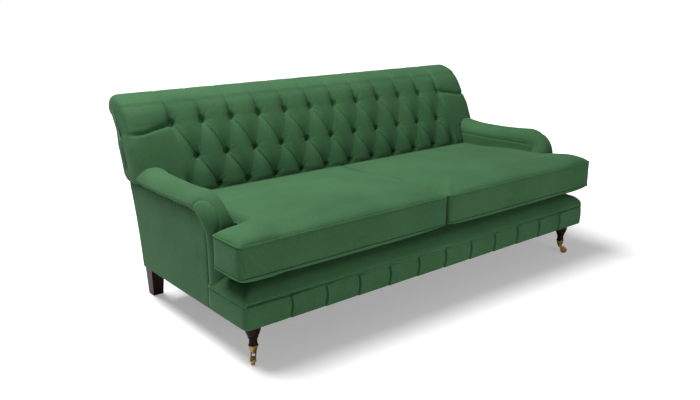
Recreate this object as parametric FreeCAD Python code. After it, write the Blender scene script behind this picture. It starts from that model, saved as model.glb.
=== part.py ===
import FreeCAD, Part
import math
import os

Vector = FreeCAD.Vector

# Three-seater sofa with a deep-buttoned back, low rolled arms, two loose T-shaped seat
# cushions, turned front legs on brass castors and raked square rear legs.
# X runs to the right as seen from in front, Y runs to the back and Z is up.
# Depths are measured back from the front face of the seat cushions, heights from the floor.

# Overall sizes
frame_width = 1956.0
frame_bottom = 160.0
cover_gap = 0.3
joint_gap = 0.6
fit_gap = 0.05
dust_cover_thickness = 2.0

# Seat frame
rail_thickness = 30.0
rail_lift = 4.0
rail_height = 88.0
frame_front = 30.0
side_cover = 10.0
centre_rail_width = 40.0
centre_rail_drop = 26.0
block_size = 95.0
block_drop = 4.0

# Sweep of the back, as the arc that its outside face follows
back_foot_depth = 838.0
back_top_depth = 1035.0
back_top_height = 785.0
back_bow = 32.5
outside_back_thickness = 3.0
back_cover_gap = 1.0
post_depth = 60.0
top_rail_rise = 15.0
top_rail_height = 62.0
lower_rail_rise = 18.0
lower_rail_height = 58.0
centre_post_width = 44.0
webbing_thickness = 2.0
webbing_width = 52.0
webbing_count = 8

# Sprung seat and its padded platform
spring_count = 12
spring_wire = 4.0
spring_wave = 52.0
spring_pitch = 34.0
spring_side_margin = 110.0
clip_length = 12.0
clip_width = 12.0
clip_thickness = 2.0
deck_rise = 82.0
deck_front = 11.0
deck_recess_gap = 2.0
deck_rear_gap = 1.0
clip_margin = 3.0
lip_seam_drop = 6.0
lip_edge_rise = 13.0
lip_roll_depth = 50.0
lip_roll_rise = 40.0
lip_reach = 175.0
lip_roll_bulge = (0.30, 0.68)
lip_slope_bulge = (0.45, 0.66)
arm_front_depth = 261.0

# Pleated border below the platform
border_seam_gap = 1.0
border_round = 9.0
border_corner = 24.0
border_side_gap = 2.0
pleat_count = 11
pleat_end_margin = 193.5
pleat_width = 5.0
pleat_sink = 4.0
pleat_return = 1.0

# Seat cushions
piping_radius = 3.0
cushion_gap = 1.5
cushion_overhang = 22.0
cushion_rear_gap = 12.0
cushion_seam_rise = 22.0
cushion_boxing = 118.0
cushion_crown = 44.0
cushion_belly = 24.0
cushion_waist = 3.0
cushion_corner = 14.0
lug_depth = 185.0
lug_crown = 17.0
seam_rise = 0.8
arm_clearance = 4.0
under_bow = 0.01
plan_ease = 0.05
body_shares = (0, 0.03, 0.09, 0.2, 0.35, 0.5, 0.65, 0.8, 0.91, 0.97, 1)
lug_shares = (0, 0.35, 0.7, 0.9, 1)

# Deep-buttoned back
back_overhang = 10.0
button_end_margin = 197.1
row_one_drop = 46.0
row_two_drop = 132.0
row_three_drop = 123.0
row_one_cover = 132.6
row_two_cover = 143.3
row_three_cover = 151.0
row_one_count = 12
row_two_count = 11
row_three_count = 10
tuft_swell = 37.0
tuft_sharpness = 0.62
end_pleat_rows = 0.3
end_pleat_share = 0.2
end_pleat_reach = 0.8
foot_cover = 145.2
foot_swell = (0.5, 0.45)
roll_swells = ((0.30, 0.86), (0.62, 0.55))
ridge_swell = 0.14
ridge_rise = 79.0
ridge_setback = 31.0
roll_rear_overhang = 29.0
roll_rear_rise = 27.0
rear_shoulder = (0.75, 0.66)
rear_shoulder_swell = 0.06
cheek_proud = 3.0
cheek_draw = 24.0
cheek_steps = ((0.0, 0.0), (0.5, 0.12), (0.85, 0.4), (1.0, 1.0))
roll_front_bow = 20.0
wing_rise = 35.8
wing_shares = (1, 5 / 7, 5 / 14, 0)
pad_inner_steps = 8
button_radius = 11.0
button_thickness = 7.0
button_rim_share = 0.45
button_well_gap = 0.4

# Arms
arm_width = 112.0
arm_board_height = 522.0
arm_board_thickness = 22.0
arm_board_width = 70.0
stump_thickness = 28.0
stump_lead = 1.0
arm_roll_half_width = 66.0
arm_swell_dip = 60.0
arm_swell_rise = 15.0
arm_dip_depth = 600.0
arm_dip_span = 270.0
arm_overhang = 22.0
arm_turn_setback = 20.0
arm_turn_drop = 22.0
arm_turn_radius = 96.0
arm_column_drop = 60.0
arm_foot_rise = 14.0
arm_panel_gap = 4.0
arm_panel_drop = 1.0
arm_panel_lean = 35.0
arm_panel_lean_drop = 122.0
arm_panel_steps = 8
column_bulge = 6.0
inside_arm_gap = 1.0
roll_flank_rise = 0.42
roll_flank_ease = (0.75, 0.17)
roll_shoulder = (0.67, 0.83)
roll_inner_shoulder = (0.70, 0.80)
roll_inner_rise = 0.30

# Legs
front_leg_inset = 70.0
front_leg_depth = 80.0
leg_bulge_radius = 31.0
leg_head_taper = 3.0
leg_ankle_radius = 15.5
leg_ankle_rise = 24.0
leg_ring_radius = 19.5
leg_ring_rise = 7.0
leg_ring_thickness = 7.0
leg_ring_step = 0.5
leg_neck_radius = 19.0
leg_neck_swell = 3.0
leg_bulge_drop = 12.0
leg_bulge_bow = 0.3
leg_toe_hollow = 0.8
leg_collar_rise = 3.0
leg_bolt_radius = 4.0
leg_bolt_length = 96.0
leg_bolt_depth = 46.0
nut_radius = 11.0
nut_thickness = 3.0
rear_leg_top = 58.0
rear_leg_foot = 46.0
rear_leg_top_inset = 39.0
rear_leg_top_lead = 36.0
rear_leg_lean_in = 37.0
rear_leg_rake = 88.0
rear_leg_room = 3.0
rear_bolt_inset = 53.0
rear_bolt_setback = 16.0

# Castors
cup_height = 27.0
cup_top_radius = 17.7
cup_bottom_radius = 11.2
cup_wall = 1.25
cup_floor = 6.0
cup_bead = 1.2
cup_bead_height = 4.0
pintle_radius = 4.0
pintle_head_radius = 6.2
pintle_head_thickness = 2.0
wheel_radius = 16.0
wheel_width = 13.0
wheel_side_gap = 0.6
wheel_headroom = 10.0
castor_trail = 21.0
cheek_thickness = 2.6
axle_radius = 2.5
axle_head_radius = 4.2
axle_head_thickness = 1.5
horn_plate_radius = 9.5
horn_plate_thickness = 3.0
horn_rim = 1.0
horn_waist = 3.0
horn_shoulder_rise = 15.0
horn_toe = 12.0
cheek_boss = 5.0
wheel_round = 2.5
left_castor_angle = 230.7
right_castor_angle = -39.2
castor_screw_radius = 1.4
castor_screw_head = 2.8
castor_screw_length = 11.0
castor_screw_rise = 16.0
castor_screw_stand = 1.2
castor_screw_way = 5.0

# Frame screws
block_screw_radius = 2.5
block_screw_bite = 14.0
block_screw_inset = 19.0
block_screw_shares = (0.30, 0.72)
block_screw_step = 0.16
drill_over = 1.0

# Values that follow from the sizes above
half_frame = frame_width / 2
half_seat = half_frame + cushion_overhang
half_back = half_frame + back_overhang
rail_bottom = frame_bottom + rail_lift
rail_top = rail_bottom + rail_height
rail_side = half_frame - side_cover
rail_inner = rail_side - rail_thickness
rail_back_inset = outside_back_thickness + back_cover_gap
post_front_inset = rail_back_inset + post_depth
pad_inset = post_front_inset + webbing_thickness + 3 * cover_gap
deck_height = rail_top + deck_rise
lip_seam_height = rail_top - lip_seam_drop
lip_edge_height = lip_seam_height + lip_edge_rise
lip_roll_height = lip_seam_height + lip_roll_rise
border_top = lip_seam_height - border_seam_gap
border_side_depth = arm_front_depth - border_side_gap
pleat_pitch = (frame_width - 2 * pleat_end_margin) / (pleat_count - 1)
arm_inner = half_frame - arm_width
arm_outer_board = rail_side
arm_inner_board = arm_outer_board - arm_board_width
arm_centre = arm_inner + arm_roll_half_width
outside_arm_front = arm_front_depth + arm_panel_gap
arm_turn_depth = outside_arm_front + arm_turn_setback
arm_turn_height = arm_board_height - arm_turn_drop
cushion_outer = half_seat - piping_radius
cushion_side = arm_inner - arm_clearance - piping_radius
cushion_front = 0.0
cushion_low_seam = deck_height + cushion_seam_rise
cushion_high_seam = cushion_low_seam + cushion_boxing
button_pitch = 2 * (half_back - button_end_margin) / (row_one_count - 1)
row_one_height = back_top_height - row_one_drop
row_two_height = row_one_height - row_two_drop
row_three_height = row_two_height - row_three_drop
wing_row = 2 + (row_two_height - arm_board_height - wing_rise) / row_three_drop
ridge_height = back_top_height + ridge_rise
ridge_depth = back_top_depth - ridge_setback
roll_rear_height = back_top_height + roll_rear_rise
roll_rear_depth = back_top_depth + roll_rear_overhang
origin_depth = roll_rear_depth / 2
front_leg_side = half_frame - front_leg_inset
rear_leg_top_side = half_frame - rear_leg_top_inset
rear_leg_foot_side = rear_leg_top_side - rear_leg_lean_in
rear_leg_top_depth = back_foot_depth - rear_leg_top_lead
rear_leg_foot_depth = rear_leg_top_depth + rear_leg_rake
rear_bolt_side = half_frame - rear_bolt_inset
cup_bottom = 2 * wheel_radius + wheel_headroom
cup_top = cup_bottom + cup_height
leg_ankle_height = cup_top + leg_ankle_rise
leg_ring_height = leg_ankle_height + leg_ring_rise
leg_bulge_height = frame_bottom - leg_bulge_drop
castor_screw_height = cup_bottom + castor_screw_rise

parts_folder = "parts"
os.makedirs(parts_folder, exist_ok=True)


def save(name, *solids):
    """Write one node, moved so that the middle of the footprint is the origin."""
    shape = solids[0] if len(solids) == 1 else Part.makeCompound(list(solids))
    shape = shape.copy()
    shape.translate(Vector(0, -origin_depth, 0))
    shape.exportStep(os.path.join(parts_folder, name + ".step"))
    if not shape.isValid():
        print("invalid", name)


def block(x0, x1, y0, y1, z0, z1):
    return Part.makeBox(x1 - x0, y1 - y0, z1 - z0, Vector(x0, y0, z0))


def rod(radius, length, start, direction):
    return Part.makeCylinder(radius, length, start, direction)


def polygon_face(points):
    return Part.Face(Part.makePolygon(list(points) + [points[0]]))


def prism_along_x(outline, x0, x1):
    """Extrude an outline of (depth, height) points along X."""
    face = polygon_face([Vector(x0, y, z) for y, z in outline])
    return face.extrude(Vector(x1 - x0, 0, 0))


def mirrored(shape):
    """The same piece on the other side of the sofa."""
    return shape.mirror(Vector(0, 0, 0), Vector(1, 0, 0))


# Sweep of the back
sweep_rise = back_top_height - frame_bottom
sweep_run = back_top_depth - back_foot_depth
sweep_chord = math.hypot(sweep_rise, sweep_run)
sweep_radius = (sweep_chord ** 2 / 4 + back_bow ** 2) / (2 * back_bow)
sweep_offset = sweep_radius - back_bow
sweep_centre_depth = (back_foot_depth + back_top_depth) / 2 + sweep_offset * sweep_rise / sweep_chord
sweep_centre_height = (frame_bottom + back_top_height) / 2 - sweep_offset * sweep_run / sweep_chord


def sweep(inset, height):
    """Depth of the swept curve that lies inset in front of the outside back."""
    radius = sweep_radius + inset
    return sweep_centre_depth - math.sqrt(radius ** 2 - (height - sweep_centre_height) ** 2)


def band(x0, x1, rear_inset, front_inset, z0, z1):
    """A member that follows the sweep of the back between two heights."""
    middle = (z0 + z1) / 2

    def corner(inset, z):
        return Vector(x0, sweep(inset, z), z)

    front = Part.Arc(corner(front_inset, z0), corner(front_inset, middle), corner(front_inset, z1))
    rear = Part.Arc(corner(rear_inset, z1), corner(rear_inset, middle), corner(rear_inset, z0))
    top = Part.LineSegment(corner(front_inset, z1), corner(rear_inset, z1))
    bottom = Part.LineSegment(corner(rear_inset, z0), corner(front_inset, z0))
    wire = Part.Wire([front.toShape(), top.toShape(), rear.toShape(), bottom.toShape()])
    return Part.Face(wire).extrude(Vector(x1 - x0, 0, 0))


# Wooden frame of the back
top_rail_top = back_top_height + top_rail_rise
top_rail_bottom = top_rail_top - top_rail_height
post = band(rail_inner, rail_side, rail_back_inset, post_front_inset, rail_bottom, top_rail_top)
save("right_back_post", post)
save("left_back_post", mirrored(post))

top_rail = band(-rail_inner, rail_inner, rail_back_inset, post_front_inset,
                top_rail_bottom, top_rail_top)
save("top_back_rail", top_rail)

lower_rail_inset = post_front_inset - rail_thickness
lower_rail_bottom = deck_height + lower_rail_rise
lower_rail = band(-rail_inner, rail_inner, lower_rail_inset, post_front_inset,
                  lower_rail_bottom, lower_rail_bottom + lower_rail_height)
save("lower_back_rail", lower_rail)

rear_rail = band(-rail_inner, rail_inner, rail_back_inset, rail_back_inset + rail_thickness,
                 rail_bottom, rail_top)
centre_post = band(-centre_post_width / 2, centre_post_width / 2,
                   rail_back_inset, post_front_inset, rail_top, top_rail_bottom)
save("centre_back_post", centre_post.cut(lower_rail))

# Wooden frame of the seat
front_rail = block(-rail_side, rail_side, frame_front, frame_front + rail_thickness,
                   rail_bottom, rail_top)


def side_rail_outline():
    """The side rail ends against the swept front of the back post."""
    y0 = frame_front + rail_thickness
    lower = sweep(post_front_inset, rail_bottom) - joint_gap
    upper = sweep(post_front_inset, rail_top) - joint_gap
    return [(y0, rail_bottom), (lower, rail_bottom), (upper, rail_top), (y0, rail_top)]


side_rail = prism_along_x(side_rail_outline(), rail_inner, rail_side)

centre_rail_back = sweep(rail_back_inset + rail_thickness, rail_top - centre_rail_drop)
centre_rail = prism_along_x(
    [(frame_front + rail_thickness, rail_bottom),
     (sweep(rail_back_inset + rail_thickness, rail_bottom) - joint_gap, rail_bottom),
     (centre_rail_back - joint_gap, rail_top - centre_rail_drop),
     (frame_front + rail_thickness, rail_top - centre_rail_drop)],
    -centre_rail_width / 2, centre_rail_width / 2)
save("centre_seat_rail", centre_rail)

# Corner blocks that take the legs, glued and screwed into the four corners
block_top = rail_top - block_drop
front_block_start = frame_front + rail_thickness
front_block = prism_along_x(
    [(front_block_start, rail_bottom), (front_block_start + block_size, rail_bottom),
     (front_block_start + block_size, block_top), (front_block_start, block_top)],
    rail_inner - block_size, rail_inner)
rear_block_end_low = sweep(rail_back_inset + rail_thickness, rail_bottom) - joint_gap
rear_block_end_high = sweep(rail_back_inset + rail_thickness, block_top) - joint_gap
rear_block = prism_along_x(
    [(rear_block_end_low - block_size, rail_bottom), (rear_block_end_low, rail_bottom),
     (rear_block_end_high, block_top), (rear_block_end_low - block_size, block_top)],
    rail_inner - block_size, rail_inner)

# Each leg is drawn up by a bolt through its corner block into a nut plate
front_bolt_start = Vector(front_leg_side, front_leg_depth, rail_bottom - leg_bolt_depth)
rear_bolt_start = Vector(rear_bolt_side, rear_block_end_low - rear_bolt_setback,
                         rail_bottom - leg_bolt_depth)
UP = Vector(0, 0, 1)


def bolt_hole(start):
    return rod(leg_bolt_radius + fit_gap, leg_bolt_length + leg_bolt_depth, start - UP * drill_over, UP)


def nut_seat(start):
    place = Vector(start.x, start.y, block_top - nut_thickness)
    return rod(nut_radius + cover_gap, nut_thickness + drill_over, place, UP)


def leg_nut(start):
    place = Vector(start.x, start.y, block_top - nut_thickness)
    plate = rod(nut_radius, nut_thickness, place, UP)
    return plate.cut(bolt_hole(start))


def leg_bolt(start):
    return rod(leg_bolt_radius, block_top - start.z, start, UP)


# Screws run through each corner block into the side rail and into the front or rear rail
def block_screw_starts(far_depth, direction_end):
    """Start point and direction of each screw of one corner block."""
    starts = []
    height = block_top - rail_bottom
    inner_side = rail_inner - block_size
    side_depth = far_depth + direction_end.y * block_screw_inset
    for share in block_screw_shares:
        low = rail_bottom + (share - block_screw_step) * height
        starts.append((Vector(inner_side, side_depth, rail_bottom + share * height), Vector(1, 0, 0)))
        starts.append((Vector(rail_inner - block_size / 2, far_depth, low), direction_end))
    return starts


def block_screw(start, direction):
    return rod(block_screw_radius, block_size + block_screw_bite, start, direction)


def block_screw_hole(start, direction):
    length = block_size + block_screw_bite + drill_over + fit_gap
    return rod(block_screw_radius + fit_gap, length, start - direction * drill_over, direction)


front_starts = block_screw_starts(front_block_start + block_size, Vector(0, -1, 0))
rear_starts = block_screw_starts(rear_block_end_low - block_size, Vector(0, 1, 0))
screw_list = [block_screw(*start) for start in front_starts + rear_starts]
screw_holes = [block_screw_hole(*start) for start in front_starts + rear_starts]
front_block = front_block.cut([bolt_hole(front_bolt_start), nut_seat(front_bolt_start)] + screw_holes)
rear_block = rear_block.cut([bolt_hole(rear_bolt_start), nut_seat(rear_bolt_start)] + screw_holes)
save("corner_blocks", front_block, rear_block, mirrored(front_block), mirrored(rear_block))
save("corner_block_screws", *(screw_list + [mirrored(screw) for screw in screw_list]))

both_holes = screw_holes + [mirrored(hole) for hole in screw_holes]
save("front_seat_rail", front_rail.cut(both_holes))
save("rear_seat_rail", rear_rail.cut(both_holes))
side_rail = side_rail.cut(screw_holes)
save("right_seat_rail", side_rail)
save("left_seat_rail", mirrored(side_rail))

nuts = [leg_nut(front_bolt_start), leg_nut(rear_bolt_start)]
save("leg_nuts", *(nuts + [mirrored(nut) for nut in nuts]))
bolts = [leg_bolt(front_bolt_start), leg_bolt(rear_bolt_start)]
save("leg_bolts", *(bolts + [mirrored(bolt) for bolt in bolts]))

# Arm frames: a stump on each side rail and a board along the top
stump_start = outside_arm_front - stump_lead
stump = block(arm_inner_board, arm_outer_board, stump_start, stump_start + stump_thickness,
              rail_top, arm_board_height - arm_board_thickness)
save("right_arm_stump", stump)
save("left_arm_stump", mirrored(stump))

board_bottom = arm_board_height - arm_board_thickness
board_back_low = sweep(post_front_inset, board_bottom) - joint_gap
board_back_high = sweep(post_front_inset, arm_board_height) - joint_gap
arm_board = prism_along_x(
    [(stump_start, board_bottom), (board_back_low, board_bottom),
     (board_back_high, arm_board_height), (stump_start, arm_board_height)],
    arm_inner_board, arm_outer_board)
save("right_arm_board", arm_board)
save("left_arm_board", mirrored(arm_board))

# Zigzag springs, clipped to the front and rear rails and flat under the platform
spring_height = rail_top + clip_thickness + spring_wire / 2
spring_start = frame_front + rail_thickness / 2
spring_end = sweep(rail_back_inset + rail_thickness / 2, rail_top)
spring_bars = int(round((spring_end - spring_start) / spring_pitch))
spring_step = (spring_end - spring_start) / spring_bars
spring_span = 2 * (rail_inner - spring_side_margin)


def zigzag(x):
    """One wire of straight bars across, joined by half-round bends at alternate ends."""
    bend = spring_step / 2
    half_bar = spring_wave / 2 - bend
    quarter = bend * math.sqrt(0.5)
    edges = []
    side = 1
    for bar in range(spring_bars + 1):
        y = spring_start + bar * spring_step
        start = Vector(x - side * half_bar, y, spring_height)
        end = Vector(x + side * half_bar, y, spring_height)
        edges.append(Part.LineSegment(start, end).toShape())
        if bar < spring_bars:
            tip = Vector(x + side * (half_bar + bend), y + bend, spring_height)
            near = Vector(x + side * (half_bar + quarter), y + bend - quarter, spring_height)
            far = Vector(x + side * (half_bar + quarter), y + bend + quarter, spring_height)
            last = Vector(end.x, y + spring_step, spring_height)
            edges.append(Part.Arc(end, near, tip).toShape())
            edges.append(Part.Arc(tip, far, last).toShape())
        side = -side
    path = Part.Wire(edges)
    first = edges[0].Vertexes[0].Point
    ring = Part.Wire([Part.Circle(first, Vector(1, 0, 0), spring_wire / 2).toShape()])
    return path.makePipeShell([ring], True, False)


def spring_clip(x, y):
    """A steel clip, nailed to the rail, that closes round the end bar of a spring."""
    body = block(x - clip_width / 2, x + clip_width / 2, y - clip_length / 2, y + clip_length / 2,
                 rail_top, spring_height + spring_wire / 2 + clip_thickness)
    bar = rod(spring_wire / 2 + fit_gap, clip_width + 2 * drill_over,
              Vector(x - clip_width / 2 - drill_over, y, spring_height), Vector(1, 0, 0))
    return body.cut(bar)


spring_gap = spring_span / (spring_count - 1)
spring_places = [(index - (spring_count - 1) / 2) * spring_gap for index in range(spring_count)]
save("seat_springs", *[zigzag(x) for x in spring_places])
save("spring_clips", *[spring_clip(x, y) for x in spring_places for y in (spring_start, spring_end)])

# Padded platform over the springs, rolled down to its seam at the front and the sides
deck_rest = rail_top + cover_gap
deck_roof = spring_height + spring_wire / 2 + clip_thickness + deck_recess_gap
recess_front = spring_start - clip_length / 2 - clip_margin
recess_rear = spring_end + clip_length / 2 + clip_margin


def lip_edges(place, edge):
    """The rolled lip in section; place(t, z) puts a point t behind the deck's edge."""
    roll_middle = place(edge + lip_roll_bulge[0] * lip_roll_depth,
                        lip_edge_height + lip_roll_bulge[1] * (lip_roll_height - lip_edge_height))
    slope_middle = place(edge + lip_roll_depth + lip_slope_bulge[0] * (lip_reach - lip_roll_depth),
                         lip_roll_height + lip_slope_bulge[1] * (deck_height - lip_roll_height))
    edge_point = place(edge, lip_edge_height)
    roll_point = place(edge + lip_roll_depth, lip_roll_height)
    flat_point = place(edge + lip_reach, deck_height)
    return [Part.LineSegment(place(edge, lip_seam_height), edge_point).toShape(),
            Part.Arc(edge_point, roll_middle, roll_point).toShape(),
            Part.Arc(roll_point, slope_middle, flat_point).toShape()]


def seat_platform():
    def front_place(depth, z):
        return Vector(-half_frame, depth, z)

    rear_low = sweep(rail_back_inset + 2 * cover_gap + deck_rear_gap, deck_rest)
    rear_high = sweep(rail_back_inset + 2 * cover_gap + deck_rear_gap, deck_height)
    outline = [(deck_front + lip_reach, deck_height), (rear_high, deck_height),
               (rear_low, deck_rest), (recess_rear, deck_rest), (recess_rear, deck_roof),
               (recess_front, deck_roof), (recess_front, deck_rest),
               (frame_front - cover_gap, deck_rest), (frame_front - cover_gap, lip_seam_height),
               (deck_front, lip_seam_height)]
    lines = [Part.LineSegment(front_place(*a), front_place(*b)).toShape()
             for a, b in zip(outline, outline[1:])]
    face = Part.Face(Part.Wire(lip_edges(front_place, deck_front) + lines))
    slab = face.extrude(Vector(frame_width, 0, 0))

    def right_place(inward, z):
        return Vector(half_frame - inward, 0, z)

    def left_place(inward, z):
        return Vector(inward - half_frame, 0, z)

    right = lip_edges(right_place, 0)
    left = lip_edges(left_place, 0)
    crest = Part.LineSegment(right_place(lip_reach, deck_height), left_place(lip_reach, deck_height))
    base = Part.LineSegment(right_place(0, lip_seam_height), left_place(0, lip_seam_height))
    rolled = Part.Face(Part.Wire(right + [crest.toShape()] + left[::-1] + [base.toShape()]))
    strip = rolled.extrude(Vector(0, arm_front_depth, 0))
    inner_half = arm_inner_board - cover_gap
    rear_part = block(-inner_half, inner_half, arm_front_depth, back_foot_depth + lip_reach,
                      lip_seam_height, deck_height)
    rails = block(-rail_side - cover_gap, rail_side + cover_gap,
                  frame_front + rail_thickness / 2, arm_front_depth, lip_seam_height, deck_rest)
    deck = slab.common(strip.fuse(rear_part)).cut(rails)
    return deck.cut(centre_post.fuse(post).fuse(mirrored(post)))


deck = seat_platform()
save("seat_platform", deck)

# Border under the platform, rounded at its corners, with a row of small sewn pleats in front
border_floor = frame_bottom
border_outer = half_frame
border_inner = rail_side + cover_gap


def border_ring():
    outer = Part.makePolygon([Vector(border_outer, deck_front, border_floor),
                              Vector(border_outer, border_side_depth, border_floor),
                              Vector(border_inner, border_side_depth, border_floor),
                              Vector(border_inner, frame_front - cover_gap, border_floor),
                              Vector(-border_inner, frame_front - cover_gap, border_floor),
                              Vector(-border_inner, border_side_depth, border_floor),
                              Vector(-border_outer, border_side_depth, border_floor),
                              Vector(-border_outer, deck_front, border_floor),
                              Vector(border_outer, deck_front, border_floor)])
    solid = Part.Face(outer).extrude(Vector(0, 0, border_top - border_floor))
    upright = [edge for edge in solid.Edges if abs(edge.Vertexes[0].Y - deck_front) < 0.1
               and abs(edge.Vertexes[1].Y - deck_front) < 0.1
               and abs(edge.Vertexes[0].Z - edge.Vertexes[1].Z) > 1]
    solid = solid.makeFillet(border_corner, upright)
    long_edges = [edge for edge in solid.Edges if abs(edge.BoundBox.YMin - deck_front) < 0.1
                  and edge.BoundBox.ZLength < 0.1 and edge.BoundBox.XLength > 1]
    return solid.makeFillet(border_round, long_edges)


def pleat_groove(x):
    """A narrow wedge, one side steep, as the fold of a sewn pleat."""
    low = border_floor - pleat_return
    mouth = deck_front - pleat_return
    corners = [Vector(x - pleat_width, mouth, low), Vector(x + pleat_return, mouth, low),
               Vector(x, deck_front + pleat_sink, low)]
    return polygon_face(corners).extrude(Vector(0, 0, border_top - border_floor + 2 * pleat_return))


border = border_ring()
grooves = [pleat_groove((index - (pleat_count - 1) / 2) * pleat_pitch) for index in range(pleat_count)]
border = border.cut(grooves)
save("front_border", border)

# Cloth dust cover under the frame, cut out round the legs
front_leg_clear = rod(leg_bulge_radius + cover_gap, rail_lift,
                      Vector(front_leg_side, front_leg_depth, frame_bottom), UP)
rear_half = rear_leg_top / 2 + rear_leg_room
rear_leg_clear = block(rear_leg_top_side - rear_half, half_frame, rear_leg_top_depth - rear_half,
                       back_foot_depth, frame_bottom, rail_bottom)
dust_cover = block(-rail_side + side_cover, rail_side - side_cover, frame_front + cover_gap,
                   sweep(rail_back_inset, rail_bottom) - cover_gap,
                   rail_bottom - dust_cover_thickness, rail_bottom)
dust_cover = dust_cover.cut([front_leg_clear, rear_leg_clear,
                             mirrored(front_leg_clear), mirrored(rear_leg_clear)])
save("dust_cover", dust_cover)

# Upright webbing across the back, tacked to the front of the lower and top rails
webbing_rear = post_front_inset + cover_gap
webbing_half_span = arm_inner - webbing_width
webbing_step = 2 * webbing_half_span / (webbing_count - 1)
strips = []
for index in range(webbing_count):
    side = -webbing_half_span + index * webbing_step
    strips.append(band(side - webbing_width / 2, side + webbing_width / 2, webbing_rear,
                       webbing_rear + webbing_thickness, lower_rail_bottom + cover_gap,
                       top_rail_top - cover_gap))
save("back_webbing", *strips)

# Outside back cover
outside_back = band(-rail_side, rail_side, 0, outside_back_thickness, frame_bottom, back_top_height)
save("outside_back", outside_back)

# Outside arm panels
def outside_arm_outline():
    """Front edge leaning back near the top, rear edge on the sweep of the back."""
    top = arm_board_height - arm_panel_drop
    rise = top - frame_bottom
    heights = [frame_bottom + rise * step / arm_panel_steps for step in range(arm_panel_steps + 1)]
    rear = [(sweep(0, z), z) for z in heights]
    front = [(outside_arm_front + arm_panel_lean, top),
             (outside_arm_front, arm_board_height - arm_panel_lean_drop),
             (outside_arm_front, frame_bottom)]
    return rear + front


panel_start = rail_side + cover_gap
outside_arm = prism_along_x(outside_arm_outline(), panel_start, half_frame)
save("right_outside_arm", outside_arm)
save("left_outside_arm", mirrored(outside_arm))

# Arm pads: one upholstered roll along the board that turns down in front to the platform
arm_foot_height = lip_roll_height + arm_foot_rise


def arm_section(centre, outward, swell, bulge):
    """A half-round of three arcs on a flat base; outward is the direction of its crown."""
    width = arm_roll_half_width
    outer_foot = half_frame - arm_centre

    def at(side, height):
        return centre + Vector(side, 0, 0) + outward * height

    def eased(shares, reach):
        return at(shares[0] * reach, shares[1] * swell)

    foot = at(outer_foot, 0)
    ease = at(outer_foot + roll_flank_ease[0] * bulge, roll_flank_ease[1] * swell)
    flank = at(outer_foot + bulge, roll_flank_rise * swell)
    crown = at(0, swell)
    inner_flank = at(-width, roll_inner_rise * swell)
    inner_foot = at(-width, 0)
    edges = [Part.Arc(foot, ease, flank).toShape(),
             Part.Arc(flank, eased(roll_shoulder, outer_foot + bulge), crown).toShape(),
             Part.Arc(crown, eased(roll_inner_shoulder, -width), inner_flank).toShape(),
             Part.LineSegment(inner_flank, inner_foot).toShape(),
             Part.LineSegment(inner_foot, foot).toShape()]
    return Part.Wire(edges)


def arm_swell(depth):
    return arm_swell_dip + arm_swell_rise * ((depth - arm_dip_depth) / arm_dip_span) ** 2


def arm_pad_solid():
    base = arm_board_height + cover_gap
    sections = []
    rear_end = sweep(post_front_inset + 2 * cover_gap, base + arm_swell_dip)
    top_steps = 6
    for step in range(top_steps + 1):
        depth = rear_end + (arm_turn_depth - rear_end) * step / top_steps
        sections.append(arm_section(Vector(arm_centre, depth, base), Vector(0, 0, 1),
                                    arm_swell(depth), arm_overhang))
    turn_base = base - arm_turn_height
    turn_steps = 5
    for step in range(1, turn_steps + 1):
        angle = math.radians(90.0 * step / turn_steps)
        outward = Vector(0, -math.sin(angle), math.cos(angle))
        centre = Vector(arm_centre, arm_turn_depth, arm_turn_height) + outward * turn_base
        share = step / turn_steps
        swell = arm_swell(arm_turn_depth) * (1 - share) + (arm_turn_radius - turn_base) * share
        bulge = arm_overhang * (1 - share) + column_bulge * share
        sections.append(arm_section(centre, outward, swell, bulge))
    front = arm_turn_depth - turn_base
    for height in (arm_turn_height - arm_column_drop, arm_foot_height):
        sections.append(arm_section(Vector(arm_centre, front, height), Vector(0, -1, 0),
                                    arm_turn_radius - turn_base, column_bulge))
    return Part.makeLoft(sections, True, True)


# Deep-buttoned back pad
row_heights = [row_one_height, row_two_height, row_three_height]
row_covers = [row_one_cover, row_two_cover, row_three_cover]
row_depths = [sweep(0, height) - cover for height, cover in zip(row_heights, row_covers)]
pad_floor = deck_height + cover_gap
foot_depth = sweep(0, pad_floor) - foot_cover
main_half = arm_inner - cover_gap
end_side = (row_one_count - 1) / 2 * button_pitch


def through_three(points):
    """Centre and radius of the circle through three (depth, height) points."""
    (ay, az), (by, bz), (cy, cz) = points
    d = 2 * (ay * (bz - cz) + by * (cz - az) + cy * (az - bz))
    a2 = ay ** 2 + az ** 2
    b2 = by ** 2 + bz ** 2
    c2 = cy ** 2 + cz ** 2
    centre_y = (a2 * (bz - cz) + b2 * (cz - az) + c2 * (az - bz)) / d
    centre_z = (a2 * (cy - by) + b2 * (ay - cy) + c2 * (by - ay)) / d
    return centre_y, centre_z, math.hypot(ay - centre_y, az - centre_z)


button_arc = through_three(list(zip(row_depths, row_heights)))


def button_angle(depth, height):
    return math.atan2(height - button_arc[1], button_arc[0] - depth)


row_angles = [button_angle(d, h) for d, h in zip(row_depths, row_heights)]


def seat_of_row(row):
    """Point and outward direction on the arc of the button seats; row runs from 1 to 3."""
    low = min(max(int(math.floor(row)), 1), 2)
    angle = row_angles[low - 1] + (row - low) * (row_angles[low] - row_angles[low - 1])
    centre_y, centre_z, radius = button_arc
    forward = (-math.cos(angle), math.sin(angle))
    return (centre_y + radius * forward[0], centre_z + radius * forward[1]), forward


def level_between(start, end, share, bow, swell_share):
    """A level between two plain points, bowed out, for the roll and the foot of the pad."""
    run = (end[0] - start[0], end[1] - start[1])
    length = math.hypot(*run)
    normal = (-run[1] / length, run[0] / length)
    lift = bow * 4 * share * (1 - share)
    point = (start[0] + share * run[0] + lift * normal[0], start[1] + share * run[1] + lift * normal[1])
    return point, normal, swell_share


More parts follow.
